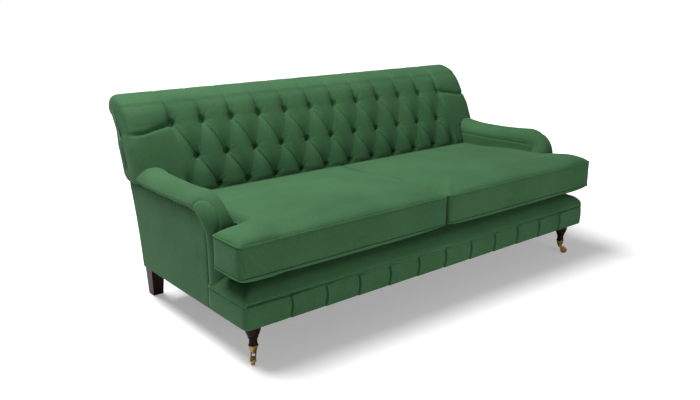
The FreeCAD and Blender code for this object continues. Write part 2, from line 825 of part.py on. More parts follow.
def pad_levels(rows, has_foot):
    """Levels of the pad from its foot up the front, over the ridge and down to the rear."""
    first_seat = seat_of_row(1)[0]
    last_seat = seat_of_row(3)[0]
    foot = (foot_depth, pad_floor)
    ridge = (ridge_depth, ridge_height)
    levels = []
    if has_foot:
        levels.append((foot, (-1.0, 0.0), 0.0, 4.0))
        point, normal, swell = level_between(foot, last_seat, foot_swell[0], 0.0, foot_swell[1])
        levels.append((point, normal, swell, 3.5))
    for row in rows:
        point, forward = seat_of_row(row)
        levels.append((point, forward, 1.0, row))
    for share, swell in roll_swells:
        point, normal, swell = level_between(first_seat, ridge, share, roll_front_bow, swell)
        levels.append((point, normal, swell, 1.0 - share))
    levels.append((ridge, (0.0, 1.0), ridge_swell, 0.0))
    shoulder_depth = ridge_depth + rear_shoulder[0] * (roll_rear_depth - ridge_depth)
    shoulder_height = roll_rear_height + rear_shoulder[1] * (ridge_height - roll_rear_height)
    levels.append(((shoulder_depth, shoulder_height), (0.7, 0.7), rear_shoulder_swell, 0.0))
    levels.append(((roll_rear_depth, roll_rear_height), (1.0, 0.0), 0.0, 0.0))
    return levels


def tuft(side, row):
    """Share of the full swell: zero in the folds between neighbouring buttons, one mid-diamond."""
    u = side / button_pitch
    end = end_side / button_pitch
    if abs(u) > end + 1e-6:
        pleat = min(1.0, abs(row - 1) / end_pleat_rows) ** tuft_sharpness
        fade = max(end_pleat_share, 1 - (abs(u) - end) / end_pleat_reach)
        return 1 - (1 - pleat) * fade
    if row <= 1 or row >= 3:
        return abs(math.cos(math.pi * u)) ** (2 * tuft_sharpness)
    first = abs(math.sin(math.pi * (u + row / 2)))
    second = abs(math.sin(math.pi * (u - row / 2)))
    return (first * second) ** tuft_sharpness


def front_points(side, levels, draw):
    """Points of the pad's outer face at one place across the back."""
    points = []
    for (depth, height), (ny, nz), swell_share, row in levels:
        swell = tuft_swell * swell_share * tuft(side, row) - draw
        points.append((depth + ny * swell, height + nz * swell))
    return points


def pad_section(side, levels):
    """Closed outline of the pad in front of the posts and over the top rail."""
    tack = back_top_height + cover_gap
    rail = top_rail_top + cover_gap
    lowest = levels[0][0][1]
    over_inset = rail_back_inset - 2 * cover_gap
    outline = front_points(side, levels, 0.0)
    outline += [(sweep(-cover_gap, tack), tack), (sweep(over_inset, tack), tack),
                (sweep(over_inset, rail), rail)]
    for step in range(pad_inner_steps + 1):
        height = rail + (lowest - rail) * step / pad_inner_steps
        outline.append((sweep(pad_inset, height), height))
    points = [Vector(side, y, z) for y, z in outline]
    return Part.makePolygon(points + [points[0]])


def cheek_section(side, levels, draw):
    """Closed outline of the padding that wraps the side of the back, out to the rear."""
    tack = back_top_height + cover_gap
    lowest = levels[0][0][1]
    outline = front_points(side, levels, draw)
    for step in range(pad_inner_steps + 1):
        height = tack + (lowest - tack) * step / pad_inner_steps
        outline.append((sweep(-cheek_proud, height) - draw, height))
    points = [Vector(side, y, z) for y, z in outline]
    return Part.makePolygon(points + [points[0]])


def back_pad_solid():
    """The buttoned pad between the arms with its two wings above them and their side wraps."""
    main_levels = pad_levels((3, 2.5, 2, 1.5, 1), True)
    wing_levels = pad_levels([1 + share * (wing_row - 1) for share in wing_shares], False)
    quarters = 2 * (row_one_count - 1)
    places = [index * button_pitch / 4 for index in range(-quarters, quarters + 1)]
    middle = (main_half + end_side) / 2
    places = [-main_half, -middle] + places + [middle, main_half]
    main = Part.makeLoft([pad_section(x, main_levels) for x in places], True, True)
    wing_sides = [main_half, (main_half + panel_start) / 2, panel_start]
    wing = Part.makeLoft([pad_section(x, wing_levels) for x in wing_sides], True, True)
    reach = half_back - panel_start
    cheek_sides = [cheek_section(panel_start + share * reach, wing_levels, draw * cheek_draw)
                   for share, draw in cheek_steps]
    cheek = Part.makeLoft(cheek_sides, True, True)
    side = wing.fuse(cheek).cut([arm_pad, arm_board])
    return main.fuse([side, mirrored(side)])


arm_pad = arm_pad_solid().cut([deck, stump, arm_board, post])
back_pad = back_pad_solid()


def button_frames(row, count):
    """Place and outward direction of every button of one row."""
    (depth, height), (ny, nz) = seat_of_row(row)
    return [(Vector((index - (count - 1) / 2) * button_pitch, depth, height), Vector(0, ny, nz))
            for index in range(count)]


def button_solid(place, outward):
    """A covered button: a short drum with a domed face."""
    rim = button_thickness * button_rim_share
    drum = rod(button_radius, rim, place, outward)
    dome_height = button_thickness - rim
    dome_radius = (button_radius ** 2 + dome_height ** 2) / (2 * dome_height)
    centre = place + outward * (button_thickness - dome_radius)
    ball = Part.makeSphere(dome_radius, centre)
    whole = rod(button_radius, 2 * button_thickness, place, outward)
    return drum.fuse(whole.common(ball)).removeSplitter()


def button_well(place, outward):
    return rod(button_radius + button_well_gap, 2 * tuft_swell, place - outward * cover_gap, outward)


rows = [("top", 1, row_one_count), ("middle", 2, row_two_count), ("bottom", 3, row_three_count)]
wells = []
for name, row, count in rows:
    frames = button_frames(row, count)
    save("back_buttons_" + name + "_row", *[button_solid(*frame) for frame in frames])
    wells += [button_well(*frame) for frame in frames]
back_pad = back_pad.cut(wells)
save("back_pad", back_pad)

# Inside arm panels between the pads, the platform and the back
inside_front = arm_turn_depth - arm_turn_drop
inside_inset = post_front_inset + 2 * inside_arm_gap
inside_arm = prism_along_x(
    [(inside_front, pad_floor), (sweep(inside_inset, pad_floor), pad_floor),
     (sweep(inside_inset, arm_board_height), arm_board_height), (inside_front, arm_board_height)],
    arm_inner, arm_inner_board - cover_gap).cut([lower_rail, arm_pad])
save("right_inside_arm", inside_arm)
save("left_inside_arm", mirrored(inside_arm))

# Arm pads rest on the boards, the inside arms and the platform
save("right_arm_pad", arm_pad)
save("left_arm_pad", mirrored(arm_pad))


# Loose T-shaped seat cushions with a lug in front of each arm
cushion_length = foot_depth - cushion_rear_gap


def t_plan(z, inset, corner):
    """Outline of the right cushion in plan with rounded corners."""
    x0 = cushion_gap + piping_radius + inset
    x1 = cushion_side - inset
    x2 = cushion_outer - inset
    y0 = cushion_front + piping_radius + inset
    y1 = lug_depth - piping_radius - inset
    y2 = cushion_length - piping_radius - inset
    corners = [(x0, y0), (x2, y0), (x2, y1), (x1, y1), (x1, y2), (x0, y2)]
    return rounded_outline([Vector(x, y, z) for x, y in corners], corner)


def rounded_outline(corners, radius):
    """A closed outline of straight runs joined by tangent arcs."""
    count = len(corners)
    entries = []
    for index, corner in enumerate(corners):
        before = (corners[index - 1] - corner).normalize()
        after = (corners[(index + 1) % count] - corner).normalize()
        bisector = (before + after).normalize()
        half = before.getAngle(after) / 2
        setback = radius / math.tan(half)
        middle = corner + bisector * (radius / math.sin(half) - radius)
        entries.append((corner + before * setback, middle, corner + after * setback))
    edges = []
    for index, (start, middle, end) in enumerate(entries):
        edges.append(Part.Arc(start, middle, end).toShape())
        following = entries[(index + 1) % count][0]
        edges.append(Part.LineSegment(end, following).toShape())
    return Part.Wire(edges)


def dome(share):
    """Rise of the crown from nothing at a seam to its full height over the middle."""
    return 1 - (2 * share - 1) ** 4


def cushion_section(x, split, rear, crown, front_crown):
    """Front border, two top arcs that meet at the lug's depth, rear border and underside."""
    front = cushion_front + piping_radius
    low = cushion_low_seam
    high = cushion_high_seam
    depth = rear - front

    def at(y, z):
        return Vector(x, y, z)

    def top(y):
        share = (y - front) / depth
        return high + crown * dome(share) + front_crown * dome(min(1, (y - front) / (split - front)))

    def under(y):
        return low - cushion_belly * (crown / cushion_crown) ** 0.5 * dome((y - front) / depth) ** 0.5

    def below(y):
        return under(y) - under_bow

    middle = (low + high) / 2
    first = (front + split) / 2
    second = (split + rear) / 2
    edges = [Part.Arc(at(front, low), at(front + cushion_waist, middle), at(front, high)).toShape(),
             Part.Arc(at(front, high), at(first, top(first)), at(split, top(split))).toShape(),
             Part.Arc(at(split, top(split)), at(second, top(second)), at(rear, high)).toShape(),
             Part.Arc(at(rear, high), at(rear - cushion_waist, middle), at(rear, low)).toShape(),
             Part.Arc(at(rear, low), at(second, below(second)), at(split, under(split))).toShape(),
             Part.Arc(at(split, under(split)), at(first, below(first)), at(front, low)).toShape()]
    return Part.Wire(edges)


def lug_section(x, split, crown):
    """The lug in front of the arm, with its own low crown."""
    front = cushion_front + piping_radius
    low = cushion_low_seam
    high = cushion_high_seam
    middle = (low + high) / 2
    centre = (front + split) / 2

    def at(y, z):
        return Vector(x, y, z)

    edges = [Part.Arc(at(front, low), at(front + cushion_waist, middle), at(front, high)).toShape(),
             Part.Arc(at(front, high), at(centre, high + crown), at(split, high)).toShape(),
             Part.Arc(at(split, high), at(split - cushion_waist, middle), at(split, low)).toShape(),
             Part.Arc(at(split, low), at(centre, low - crown / 2), at(front, low)).toShape()]
    return Part.Wire(edges)


def cushion_solid():
    x0 = cushion_gap + piping_radius
    x1 = cushion_side
    x2 = cushion_outer
    split = lug_depth - piping_radius
    rear = cushion_length - piping_radius
    sections = []
    for share in body_shares:
        crown = seam_rise + (cushion_crown - seam_rise) * dome(share)
        towards_lug = max(0.0, (share - 0.5) * 2)
        front_crown = lug_crown * towards_lug ** 2 * (1 - 0.5 * (1 - towards_lug))
        sections.append(cushion_section(x0 + share * (x1 - x0), split, rear, crown, front_crown))
    body = Part.makeLoft(sections, True, True)
    sections = []
    for share in lug_shares:
        crown = seam_rise + (lug_crown - seam_rise) * (1 - share ** 2)
        sections.append(lug_section(x1 + share * (x2 - x1), split, crown))
    lug = Part.makeLoft(sections, True, True)
    plan = Part.Face(t_plan(0, -plan_ease, cushion_corner)).extrude(Vector(0, 0, 2 * cushion_high_seam))
    support = block(0, half_seat, 0, cushion_length, 0, pad_floor)
    return body.fuse(lug).common(plan).cut(support)


def piping(z):
    """A covered cord sewn into the seam all the way round."""
    path = t_plan(z, 0, cushion_corner)
    start = path.Vertexes[0].Point
    tangent = path.Edges[0].tangentAt(path.Edges[0].FirstParameter)
    ring = Part.Wire([Part.Circle(start, tangent, piping_radius).toShape()])
    return path.makePipeShell([ring], True, False)


cushion = cushion_solid()
cords = [piping(cushion_low_seam), piping(cushion_high_seam)]
cushion = cushion.cut(cords)
save("right_seat_cushion", cushion)
save("left_seat_cushion", mirrored(cushion))
save("right_cushion_piping", *cords)
save("left_cushion_piping", *[mirrored(cord) for cord in cords])

# Turned front legs with their toes in the castor cups
def cup_outer(z):
    return cup_bottom_radius + (cup_top_radius - cup_bottom_radius) * (z - cup_bottom) / cup_height


def cup_inner(z):
    return cup_outer(z) - cup_wall


def revolved(points_and_edges):
    """Revolve a closed profile of (radius, height) edges about the vertical axis."""
    face = Part.Face(Part.Wire(points_and_edges))
    return face.revolve(Vector(0, 0, 0), Vector(0, 0, 1), 360)


def profile_line(a, b):
    return Part.LineSegment(Vector(a[0], 0, a[1]), Vector(b[0], 0, b[1])).toShape()


def profile_arc(a, b, c):
    return Part.Arc(Vector(a[0], 0, a[1]), Vector(b[0], 0, b[1]), Vector(c[0], 0, c[1])).toShape()


toe_height = cup_bottom + cup_floor + pintle_head_thickness + 2 * cover_gap
leg_toe = (cup_inner(toe_height) - fit_gap, toe_height + fit_gap)
leg_mouth = (cup_inner(cup_top) - fit_gap, cup_top + leg_collar_rise)
leg_ankle = (leg_ankle_radius, leg_ankle_height)
ring_low = (leg_ankle_radius + leg_ring_step, leg_ring_height - leg_ring_thickness / 2)
ring_high = (leg_ankle_radius + 2 * leg_ring_step, leg_ring_height + leg_ring_thickness / 2)
leg_neck = (leg_neck_radius, ring_high[1])
bulge_low = (leg_bulge_radius, leg_bulge_height)
leg_head = (leg_bulge_radius - leg_head_taper, rail_bottom)
leg_profile = [
    profile_line((0, leg_toe[1]), leg_toe),
    profile_line(leg_toe, (leg_mouth[0], cup_top)),
    profile_line((leg_mouth[0], cup_top), leg_mouth),
    profile_arc(leg_mouth, ((leg_mouth[0] + leg_ankle[0]) / 2 - leg_toe_hollow,
                            (leg_mouth[1] + leg_ankle[1]) / 2), leg_ankle),
    profile_line(leg_ankle, ring_low),
    profile_arc(ring_low, (leg_ring_radius, leg_ring_height), ring_high),
    profile_line(ring_high, leg_neck),
    profile_arc(leg_neck, ((leg_neck_radius + leg_bulge_radius) / 2 + leg_neck_swell,
                           (leg_neck[1] + leg_bulge_height) / 2), bulge_low),
    profile_arc(bulge_low, (leg_bulge_radius + leg_bulge_bow, (leg_bulge_height + rail_bottom) / 2),
                leg_head),
    profile_line(leg_head, (0, rail_bottom)),
    profile_line((0, rail_bottom), (0, leg_toe[1]))]
front_leg = revolved(leg_profile)


def castor_screw(side):
    """A small dome-headed screw through the cup wall into the leg."""
    direction = Vector(0, -side, 0)
    reach = cup_outer(castor_screw_height) + castor_screw_stand
    start = Vector(0, side * reach, castor_screw_height)
    shank = rod(castor_screw_radius, castor_screw_length, start, direction)
    head = rod(castor_screw_head, castor_screw_head / 2, start - direction * (castor_screw_head / 2),
               direction)
    return shank.fuse(head)


def castor_screw_hole(side):
    direction = Vector(0, -side, 0)
    start = Vector(0, side * (cup_top_radius + castor_screw_way), castor_screw_height)
    depth = cup_top_radius + castor_screw_way - cup_outer(castor_screw_height) - castor_screw_stand
    return rod(castor_screw_radius + fit_gap, castor_screw_length + depth + fit_gap, start, direction)


bead_height = cup_top - cup_bead_height
bead_start = (cup_outer(bead_height), bead_height)
head_well = pintle_head_radius + 2 * cover_gap
pintle_bore = pintle_radius + fit_gap
cup_profile = [
    profile_line((pintle_bore, cup_bottom), (cup_bottom_radius, cup_bottom)),
    profile_line((cup_bottom_radius, cup_bottom), bead_start),
    profile_arc(bead_start, (cup_top_radius + cup_bead, cup_top - cup_bead_height / 2),
                (cup_top_radius, cup_top)),
    profile_line((cup_top_radius, cup_top), (cup_inner(cup_top), cup_top)),
    profile_line((cup_inner(cup_top), cup_top), (cup_inner(toe_height), toe_height)),
    profile_line((cup_inner(toe_height), toe_height), (head_well, toe_height)),
    profile_line((head_well, toe_height), (head_well, cup_bottom + cup_floor)),
    profile_line((head_well, cup_bottom + cup_floor), (pintle_bore, cup_bottom + cup_floor)),
    profile_line((pintle_bore, cup_bottom + cup_floor), (pintle_bore, cup_bottom))]
cup = revolved(cup_profile)
screws = [castor_screw(1), castor_screw(-1)]
holes = [castor_screw_hole(1), castor_screw_hole(-1)]
cup = cup.cut(holes)
front_leg = front_leg.cut(holes)

# Castor horn: a plate and pintle that turn in the cup, with two cheeks that carry the axle
fork_half = wheel_width / 2 + wheel_side_gap
horn_top = cup_bottom - cover_gap


def horn_solid():
    plate = rod(horn_plate_radius, horn_plate_thickness, Vector(0, 0, horn_top - horn_plate_thickness), UP)
    pintle = rod(pintle_radius, cup_floor + 3 * cover_gap, Vector(0, 0, horn_top - fit_gap), UP)
    head_seat = Vector(0, 0, cup_bottom + cup_floor + cover_gap)
    head = rod(pintle_head_radius, pintle_head_thickness, head_seat, UP)
    low = wheel_radius
    rim = horn_plate_radius - horn_rim
    neck = horn_plate_radius - horn_waist
    outline = [(-rim, horn_top - horn_rim), (rim, horn_top - horn_rim),
               (castor_trail - horn_waist, low + horn_shoulder_rise),
               (castor_trail + cheek_boss, low + horn_waist),
               (castor_trail + cheek_boss, low - 2 * horn_rim),
               (castor_trail + 2 * horn_rim, low - cheek_boss),
               (castor_trail - horn_waist, low - cheek_boss + horn_rim),
               (castor_trail - horn_toe, low + horn_toe / 2),
               (-neck, horn_top - horn_plate_thickness - cheek_boss)]
    cheeks = []
    for side in (-1, 1):
        start = side * fork_half if side > 0 else -fork_half - cheek_thickness
        points = [Vector(t, start, z) for t, z in outline]
        cheeks.append(polygon_face(points).extrude(Vector(0, cheek_thickness, 0)))
    bridge = block(-neck, neck, -fork_half - cheek_thickness / 2, fork_half + cheek_thickness / 2,
                   horn_top - horn_plate_thickness - horn_waist, horn_top - horn_rim)
    whole = plate.fuse([pintle, head, bridge] + cheeks)
    bore = rod(axle_radius + fit_gap, 4 * fork_half, Vector(castor_trail, -2 * fork_half, wheel_radius),
               Vector(0, 1, 0))
    return whole.cut(bore).removeSplitter()


def axle_solid():
    reach = fork_half + cheek_thickness + fit_gap
    start = Vector(castor_trail, -reach - axle_head_thickness, wheel_radius)
    across = Vector(0, 1, 0)
    pin = rod(axle_radius, 2 * (reach + axle_head_thickness), start, across)
    near = rod(axle_head_radius, axle_head_thickness, start, across)
    far = rod(axle_head_radius, axle_head_thickness, Vector(castor_trail, reach, wheel_radius), across)
    return pin.fuse([near, far]).removeSplitter()


def wheel_solid():
    tyre = rod(wheel_radius, wheel_width, Vector(castor_trail, -wheel_width / 2, wheel_radius),
               Vector(0, 1, 0))
    rims = [edge for edge in tyre.Edges if abs(edge.Length - 2 * math.pi * wheel_radius) < 0.01]
    tyre = tyre.makeFillet(wheel_round, rims)
    bore = rod(axle_radius + fit_gap, 2 * wheel_width, Vector(castor_trail, -wheel_width, wheel_radius),
               Vector(0, 1, 0))
    return tyre.cut(bore)


horn = horn_solid()
axle = axle_solid()
wheel = wheel_solid()


def placed(shape, side, angle):
    """A castor piece built at the origin, turned by its swivel and set under its leg."""
    moved = shape.copy()
    moved.rotate(Vector(0, 0, 0), UP, angle)
    moved.translate(Vector(side * front_leg_side, front_leg_depth, 0))
    return moved


front_bolt_hole = bolt_hole(Vector(0, 0, rail_bottom - leg_bolt_depth))
front_leg = front_leg.cut(front_bolt_hole)
all_screws = []
for name, side, angle in (("left", -1, left_castor_angle), ("right", 1, right_castor_angle)):
    save("front_" + name + "_leg", placed(front_leg, side, 0))
    save(name + "_castor_cup", placed(cup, side, 0))
    save(name + "_castor_horn", placed(horn, side, angle))
    save(name + "_castor_axle", placed(axle, side, angle))
    save(name + "_castor_wheel", placed(wheel, side, angle))
    all_screws += [placed(screw, side, 0) for screw in screws]
save("castor_screws", *all_screws)


# Raked square rear legs
def square(side, depth, z, width):
    half = width / 2
    return Part.makePolygon([Vector(side - half, depth - half, z), Vector(side + half, depth - half, z),
                             Vector(side + half, depth + half, z), Vector(side - half, depth + half, z),
                             Vector(side - half, depth - half, z)])


rear_leg = Part.makeLoft([square(rear_leg_foot_side, rear_leg_foot_depth, 0, rear_leg_foot),
                          square(rear_leg_top_side, rear_leg_top_depth, rail_bottom, rear_leg_top)],
                         True, True)
rear_leg = rear_leg.cut(bolt_hole(rear_bolt_start))
save("rear_right_leg", rear_leg)
save("rear_left_leg", mirrored(rear_leg))
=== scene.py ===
import math
import bmesh
import bpy
import numpy as np
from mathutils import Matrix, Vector


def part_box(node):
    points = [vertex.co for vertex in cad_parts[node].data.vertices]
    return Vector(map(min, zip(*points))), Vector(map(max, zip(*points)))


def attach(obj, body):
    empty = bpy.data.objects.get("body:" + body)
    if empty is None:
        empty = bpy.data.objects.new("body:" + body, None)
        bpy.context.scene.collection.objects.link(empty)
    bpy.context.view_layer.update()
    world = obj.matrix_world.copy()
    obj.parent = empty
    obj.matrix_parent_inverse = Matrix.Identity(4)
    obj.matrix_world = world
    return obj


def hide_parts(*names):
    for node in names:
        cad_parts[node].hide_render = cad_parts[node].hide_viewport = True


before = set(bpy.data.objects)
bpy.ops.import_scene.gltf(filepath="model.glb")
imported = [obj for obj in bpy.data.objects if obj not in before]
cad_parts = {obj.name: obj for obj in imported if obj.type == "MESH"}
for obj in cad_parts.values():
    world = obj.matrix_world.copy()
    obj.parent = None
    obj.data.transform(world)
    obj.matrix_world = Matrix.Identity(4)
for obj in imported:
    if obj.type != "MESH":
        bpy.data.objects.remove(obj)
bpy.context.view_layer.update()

# Studio
# A seamless pale floor in a white room, lit by one wide soft lamp overhead, a low one in front and a
# faint one at the left. The camera stands to the left of the sofa's front, at about chest height.
# Every depth in the sections below is measured back from the seat cushions' front seam.
seat_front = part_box("right_cushion_piping")[0].y
camera_spot = (-2.1891, seat_front - 2.0366, 1.3095)
camera_tilt = math.radians(74.0008)
camera_turn = math.radians(-39.2331)
camera_lens = 38.72
floor_size = 30.0
floor_colour = (0.80, 0.80, 0.80, 1.0)
floor_lift = 0.30
floor_glow = 1.1
glow_reach = (1.3, 3.0)
room_fill = 0.11
lamps = [
    ("overhead_lamp", (-1.5, 0.95, 4.6), (0.0, -0.1, 0.35), 3.0, 400.0),
    ("left_lamp", (-3.8, -1.0, 2.2), (0.0, 0.0, 0.5), 2.0, 3.0),
    ("front_lamp", (0.5, -3.6, 0.70), (0.1, 0.0, 0.28), 2.2, 50.0),
]


def node(tree, kind, values=(), **properties):
    """A shader or geometry node with its own properties and the values of its sockets."""
    made = tree.nodes.new(kind)
    for name, value in properties.items():
        setattr(made, name, value)
    for name, value in dict(values).items():
        made.inputs[name].default_value = value
    return made


camera_data = bpy.data.cameras.new("camera")
camera_data.lens = camera_lens
camera = bpy.data.objects.new("camera", camera_data)
camera.location = camera_spot
camera.rotation_euler = (camera_tilt, 0.0, camera_turn)
bpy.context.scene.collection.objects.link(camera)
bpy.context.scene.camera = camera
bpy.context.scene.view_settings.view_transform = "Standard"


def seen_directly(tree):
    """One for rays from the camera, otherwise nothing."""
    return node(tree, "ShaderNodeLightPath").outputs["Is Camera Ray"]


world = bpy.data.worlds.new("white_room")
world.use_nodes = True
bpy.context.scene.world = world
tree = world.node_tree
room = tree.nodes["Background"]
shade = node(tree, "ShaderNodeMix", data_type="RGBA")
shade.inputs["A"].default_value = (room_fill, room_fill, room_fill, 1.0)
shade.inputs["B"].default_value = (1.0, 1.0, 1.0, 1.0)
tree.links.new(seen_directly(tree), shade.inputs["Factor"])
tree.links.new(shade.outputs["Result"], room.inputs["Color"])

floor_material = bpy.data.materials.new("studio_floor")
floor_material.use_nodes = True
tree = floor_material.node_tree
tree.nodes.remove(tree.nodes["Principled BSDF"])
paint = node(tree, "ShaderNodeBsdfDiffuse", {"Color": floor_colour})
glow = node(tree, "ShaderNodeEmission")
place = node(tree, "ShaderNodeTexCoord")
away = node(tree, "ShaderNodeVectorMath", operation="LENGTH")
spread = node(tree, "ShaderNodeMapRange", {"From Min": glow_reach[0], "From Max": glow_reach[1],
                                           "To Min": floor_lift, "To Max": floor_glow},
              interpolation_type="SMOOTHSTEP")
lift = node(tree, "ShaderNodeMath", operation="MULTIPLY")
tree.links.new(place.outputs["Object"], away.inputs[0])
tree.links.new(away.outputs["Value"], spread.inputs["Value"])
tree.links.new(spread.outputs["Result"], lift.inputs[1])
both = node(tree, "ShaderNodeAddShader")
tree.links.new(seen_directly(tree), lift.inputs[0])
tree.links.new(lift.outputs[0], glow.inputs["Strength"])
tree.links.new(paint.outputs[0], both.inputs[0])
tree.links.new(glow.outputs[0], both.inputs[1])
tree.links.new(both.outputs[0], tree.nodes["Material Output"].inputs["Surface"])
floor_mesh = bpy.data.meshes.new("studio_floor")
half_floor = floor_size / 2
floor_mesh.from_pydata([(-half_floor, -half_floor, 0), (half_floor, -half_floor, 0),
                        (half_floor, half_floor, 0), (-half_floor, half_floor, 0)], [], [(0, 1, 2, 3)])
floor_mesh.materials.append(floor_material)
floor = bpy.data.objects.new("studio_floor", floor_mesh)
bpy.context.scene.collection.objects.link(floor)

for name, spot, aim, size, power in lamps:
    lamp_data = bpy.data.lights.new(name, "AREA")
    lamp_data.shape = "DISK"
    lamp_data.size = size
    lamp_data.energy = power
    lamp = bpy.data.objects.new(name, lamp_data)
    lamp.location = spot
    lamp.rotation_euler = (Vector(aim) - Vector(spot)).to_track_quat("-Z", "Y").to_euler()
    bpy.context.scene.collection.objects.link(lamp)

# Hardwood frame
# Rails, posts, stumps and arm boards of planed beech, glued and screwed at the corners through
# four corner blocks. It is covered on every side once the sofa is finished.
timber_light = (0.58, 0.40, 0.22, 1.0)
timber_dark = (0.40, 0.25, 0.12, 1.0)
upright_timber = ["left_back_post", "right_back_post", "centre_back_post", "left_arm_stump",
                  "right_arm_stump"]
lengthwise_timber = ["left_seat_rail", "right_seat_rail", "centre_seat_rail", "left_arm_board",
                     "right_arm_board"]
crosswise_timber = ["front_seat_rail", "rear_seat_rail", "top_back_rail", "lower_back_rail",
                    "corner_blocks"]


def bare_material(name):
    """A material with its node tree, its main shader and the piece's own coordinates."""
    material = bpy.data.materials.new(name)
    material.use_nodes = True
    tree = material.node_tree
    place = node(tree, "ShaderNodeTexCoord").outputs["Object"]
    return material, tree, tree.nodes["Principled BSDF"], place


def timber(name, light, dark, along, ring_scale=9.0, roughness=0.55, gloss=0.4):
    """Wood whose grain runs along one axis, from stretched noise bent through fine bands."""
    material, tree, shader, place = bare_material(name)
    link = tree.links.new
    stretch = node(tree, "ShaderNodeMapping")
    stretch.inputs["Scale"].default_value = [0.08 if axis == along else 1.0 for axis in range(3)]
    grain = node(tree, "ShaderNodeTexNoise",
                 {"Scale": 5 * ring_scale, "Detail": 6.0, "Roughness": 0.62, "Distortion": 0.8})
    bands = node(tree, "ShaderNodeTexWave",
                 {"Scale": ring_scale, "Distortion": 7.0, "Detail": 3.0, "Detail Scale": 1.6},
                 wave_type="RINGS", rings_direction="XYZ"[along])
    pores = node(tree, "ShaderNodeTexNoise", {"Scale": 420.0, "Detail": 2.0})
    tint = node(tree, "ShaderNodeMix", data_type="RGBA")
    tint.inputs["A"].default_value = dark
    tint.inputs["B"].default_value = light
    blend = node(tree, "ShaderNodeMath", operation="MULTIPLY")
    bump = node(tree, "ShaderNodeBump", {"Strength": 0.35, "Distance": 0.0004})
    rough = node(tree, "ShaderNodeMapRange", {"To Min": roughness - 0.1, "To Max": roughness + 0.12})
    link(place, stretch.inputs["Vector"])
    for texture in (grain, bands, pores):
        link(stretch.outputs["Vector"], texture.inputs["Vector"])
    link(grain.outputs["Fac"], blend.inputs[0])
    link(bands.outputs["Fac"], blend.inputs[1])
    link(blend.outputs[0], tint.inputs["Factor"])
    link(tint.outputs["Result"], shader.inputs["Base Color"])
    link(grain.outputs["Fac"], rough.inputs["Value"])
    link(rough.outputs["Result"], shader.inputs["Roughness"])
    link(pores.outputs["Fac"], bump.inputs["Height"])
    link(bump.outputs["Normal"], shader.inputs["Normal"])
    shader.inputs["Specular IOR Level"].default_value = gloss
    return material


def finish_nodes(names, material):
    """Give rigid pieces of the frame their finish in place of the plain one."""
    for name in names:
        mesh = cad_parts[name].data
        mesh.materials.clear()
        mesh.materials.append(material)


finish_nodes(lengthwise_timber, timber("beech_lengthwise", timber_light, timber_dark, 1))
finish_nodes(crosswise_timber, timber("beech_crosswise", timber_light, timber_dark, 0))
finish_nodes(upright_timber, timber("beech_upright", timber_light, timber_dark, 2))

# Springs, clips, screws and leg bolts
# Zigzag springs of bright drawn wire hang in nailed clips; steel screws hold the corner blocks and
# a bolt draws each leg up to its nut plate.
steel_colour = (0.50, 0.50, 0.49, 1.0)
steel_stain = (0.30, 0.29, 0.28, 1.0)
zinc_colour = (0.62, 0.61, 0.57, 1.0)
zinc_stain = (0.45, 0.44, 0.40, 1.0)


def metal(name, colour, stain, roughness, scale=60.0):
    """Metal with a blotchy bloom in its colour and its gloss, and a fine rubbed grain."""
    material, tree, shader, place = bare_material(name)
    link = tree.links.new
    shader.inputs["Metallic"].default_value = 1.0
    bloom = node(tree, "ShaderNodeTexNoise", {"Scale": scale, "Detail": 5.0, "Roughness": 0.6})
    rub = node(tree, "ShaderNodeTexNoise", {"Scale": 18 * scale, "Detail": 2.0})
    tint = node(tree, "ShaderNodeMix", data_type="RGBA")
    tint.inputs["A"].default_value = colour
    tint.inputs["B"].default_value = stain
    ramp = node(tree, "ShaderNodeMapRange", {"From Min": 0.45, "From Max": 0.75})
    rough = node(tree, "ShaderNodeMapRange",
                 {"From Min": 0.3, "From Max": 0.7, "To Min": roughness - 0.07,
                  "To Max": roughness + 0.12})
    bump = node(tree, "ShaderNodeBump", {"Strength": 0.15, "Distance": 0.0002})
    for texture in (bloom, rub):
        link(place, texture.inputs["Vector"])
    link(bloom.outputs["Fac"], ramp.inputs["Value"])
    link(ramp.outputs["Result"], tint.inputs["Factor"])
    link(tint.outputs["Result"], shader.inputs["Base Color"])
    link(bloom.outputs["Fac"], rough.inputs["Value"])
    link(rough.outputs["Result"], shader.inputs["Roughness"])
    link(rub.outputs["Fac"], bump.inputs["Height"])
    link(bump.outputs["Normal"], shader.inputs["Normal"])
    return material


finish_nodes(["seat_springs"], metal("spring_wire", steel_colour, steel_stain, 0.32))
finish_nodes(["spring_clips", "leg_bolts", "leg_nuts", "corner_block_screws"],
             metal("zinc_plate", zinc_colour, zinc_stain, 0.38))

# Back webbing
# Eight jute straps run from the lower back rail to the top rail and carry the buttoned pad. Each is
# a plain woven strap, a little slack between its tacks.
jute_light = (0.46, 0.35, 0.20, 1.0)
jute_hollow_shade = (0.20, 0.13, 0.07, 1.0)


def jute(name):
    """Coarse plain weave, light on the crossings of its yarns, with painted shade in the hollows between
    them.
    """
    material, tree, shader, place = bare_material(name)
    link = tree.links.new
    shader.inputs["Roughness"].default_value = 0.9
    across = node(tree, "ShaderNodeTexWave", {"Scale": 160.0, "Distortion": 0.6}, bands_direction="X")
    along = node(tree, "ShaderNodeTexWave", {"Scale": 160.0, "Distortion": 0.6}, bands_direction="Z")
    weave = node(tree, "ShaderNodeMath", operation="MULTIPLY")
    # The darker colour is painted shade: it falls where the weave's bump is lowest, between the yarns.
    tint = node(tree, "ShaderNodeMix", data_type="RGBA")
    tint.inputs["A"].default_value = jute_hollow_shade
    tint.inputs["B"].default_value = jute_light
    bump = node(tree, "ShaderNodeBump", {"Strength": 0.6, "Distance": 0.0008})
    for texture in (across, along):
        link(place, texture.inputs["Vector"])
    link(across.outputs["Fac"], weave.inputs[0])
    link(along.outputs["Fac"], weave.inputs[1])
    link(weave.outputs[0], tint.inputs["Factor"])
    link(tint.outputs["Result"], shader.inputs["Base Color"])
    link(weave.outputs[0], bump.inputs["Height"])
    link(bump.outputs["Normal"], shader.inputs["Normal"])
    return material


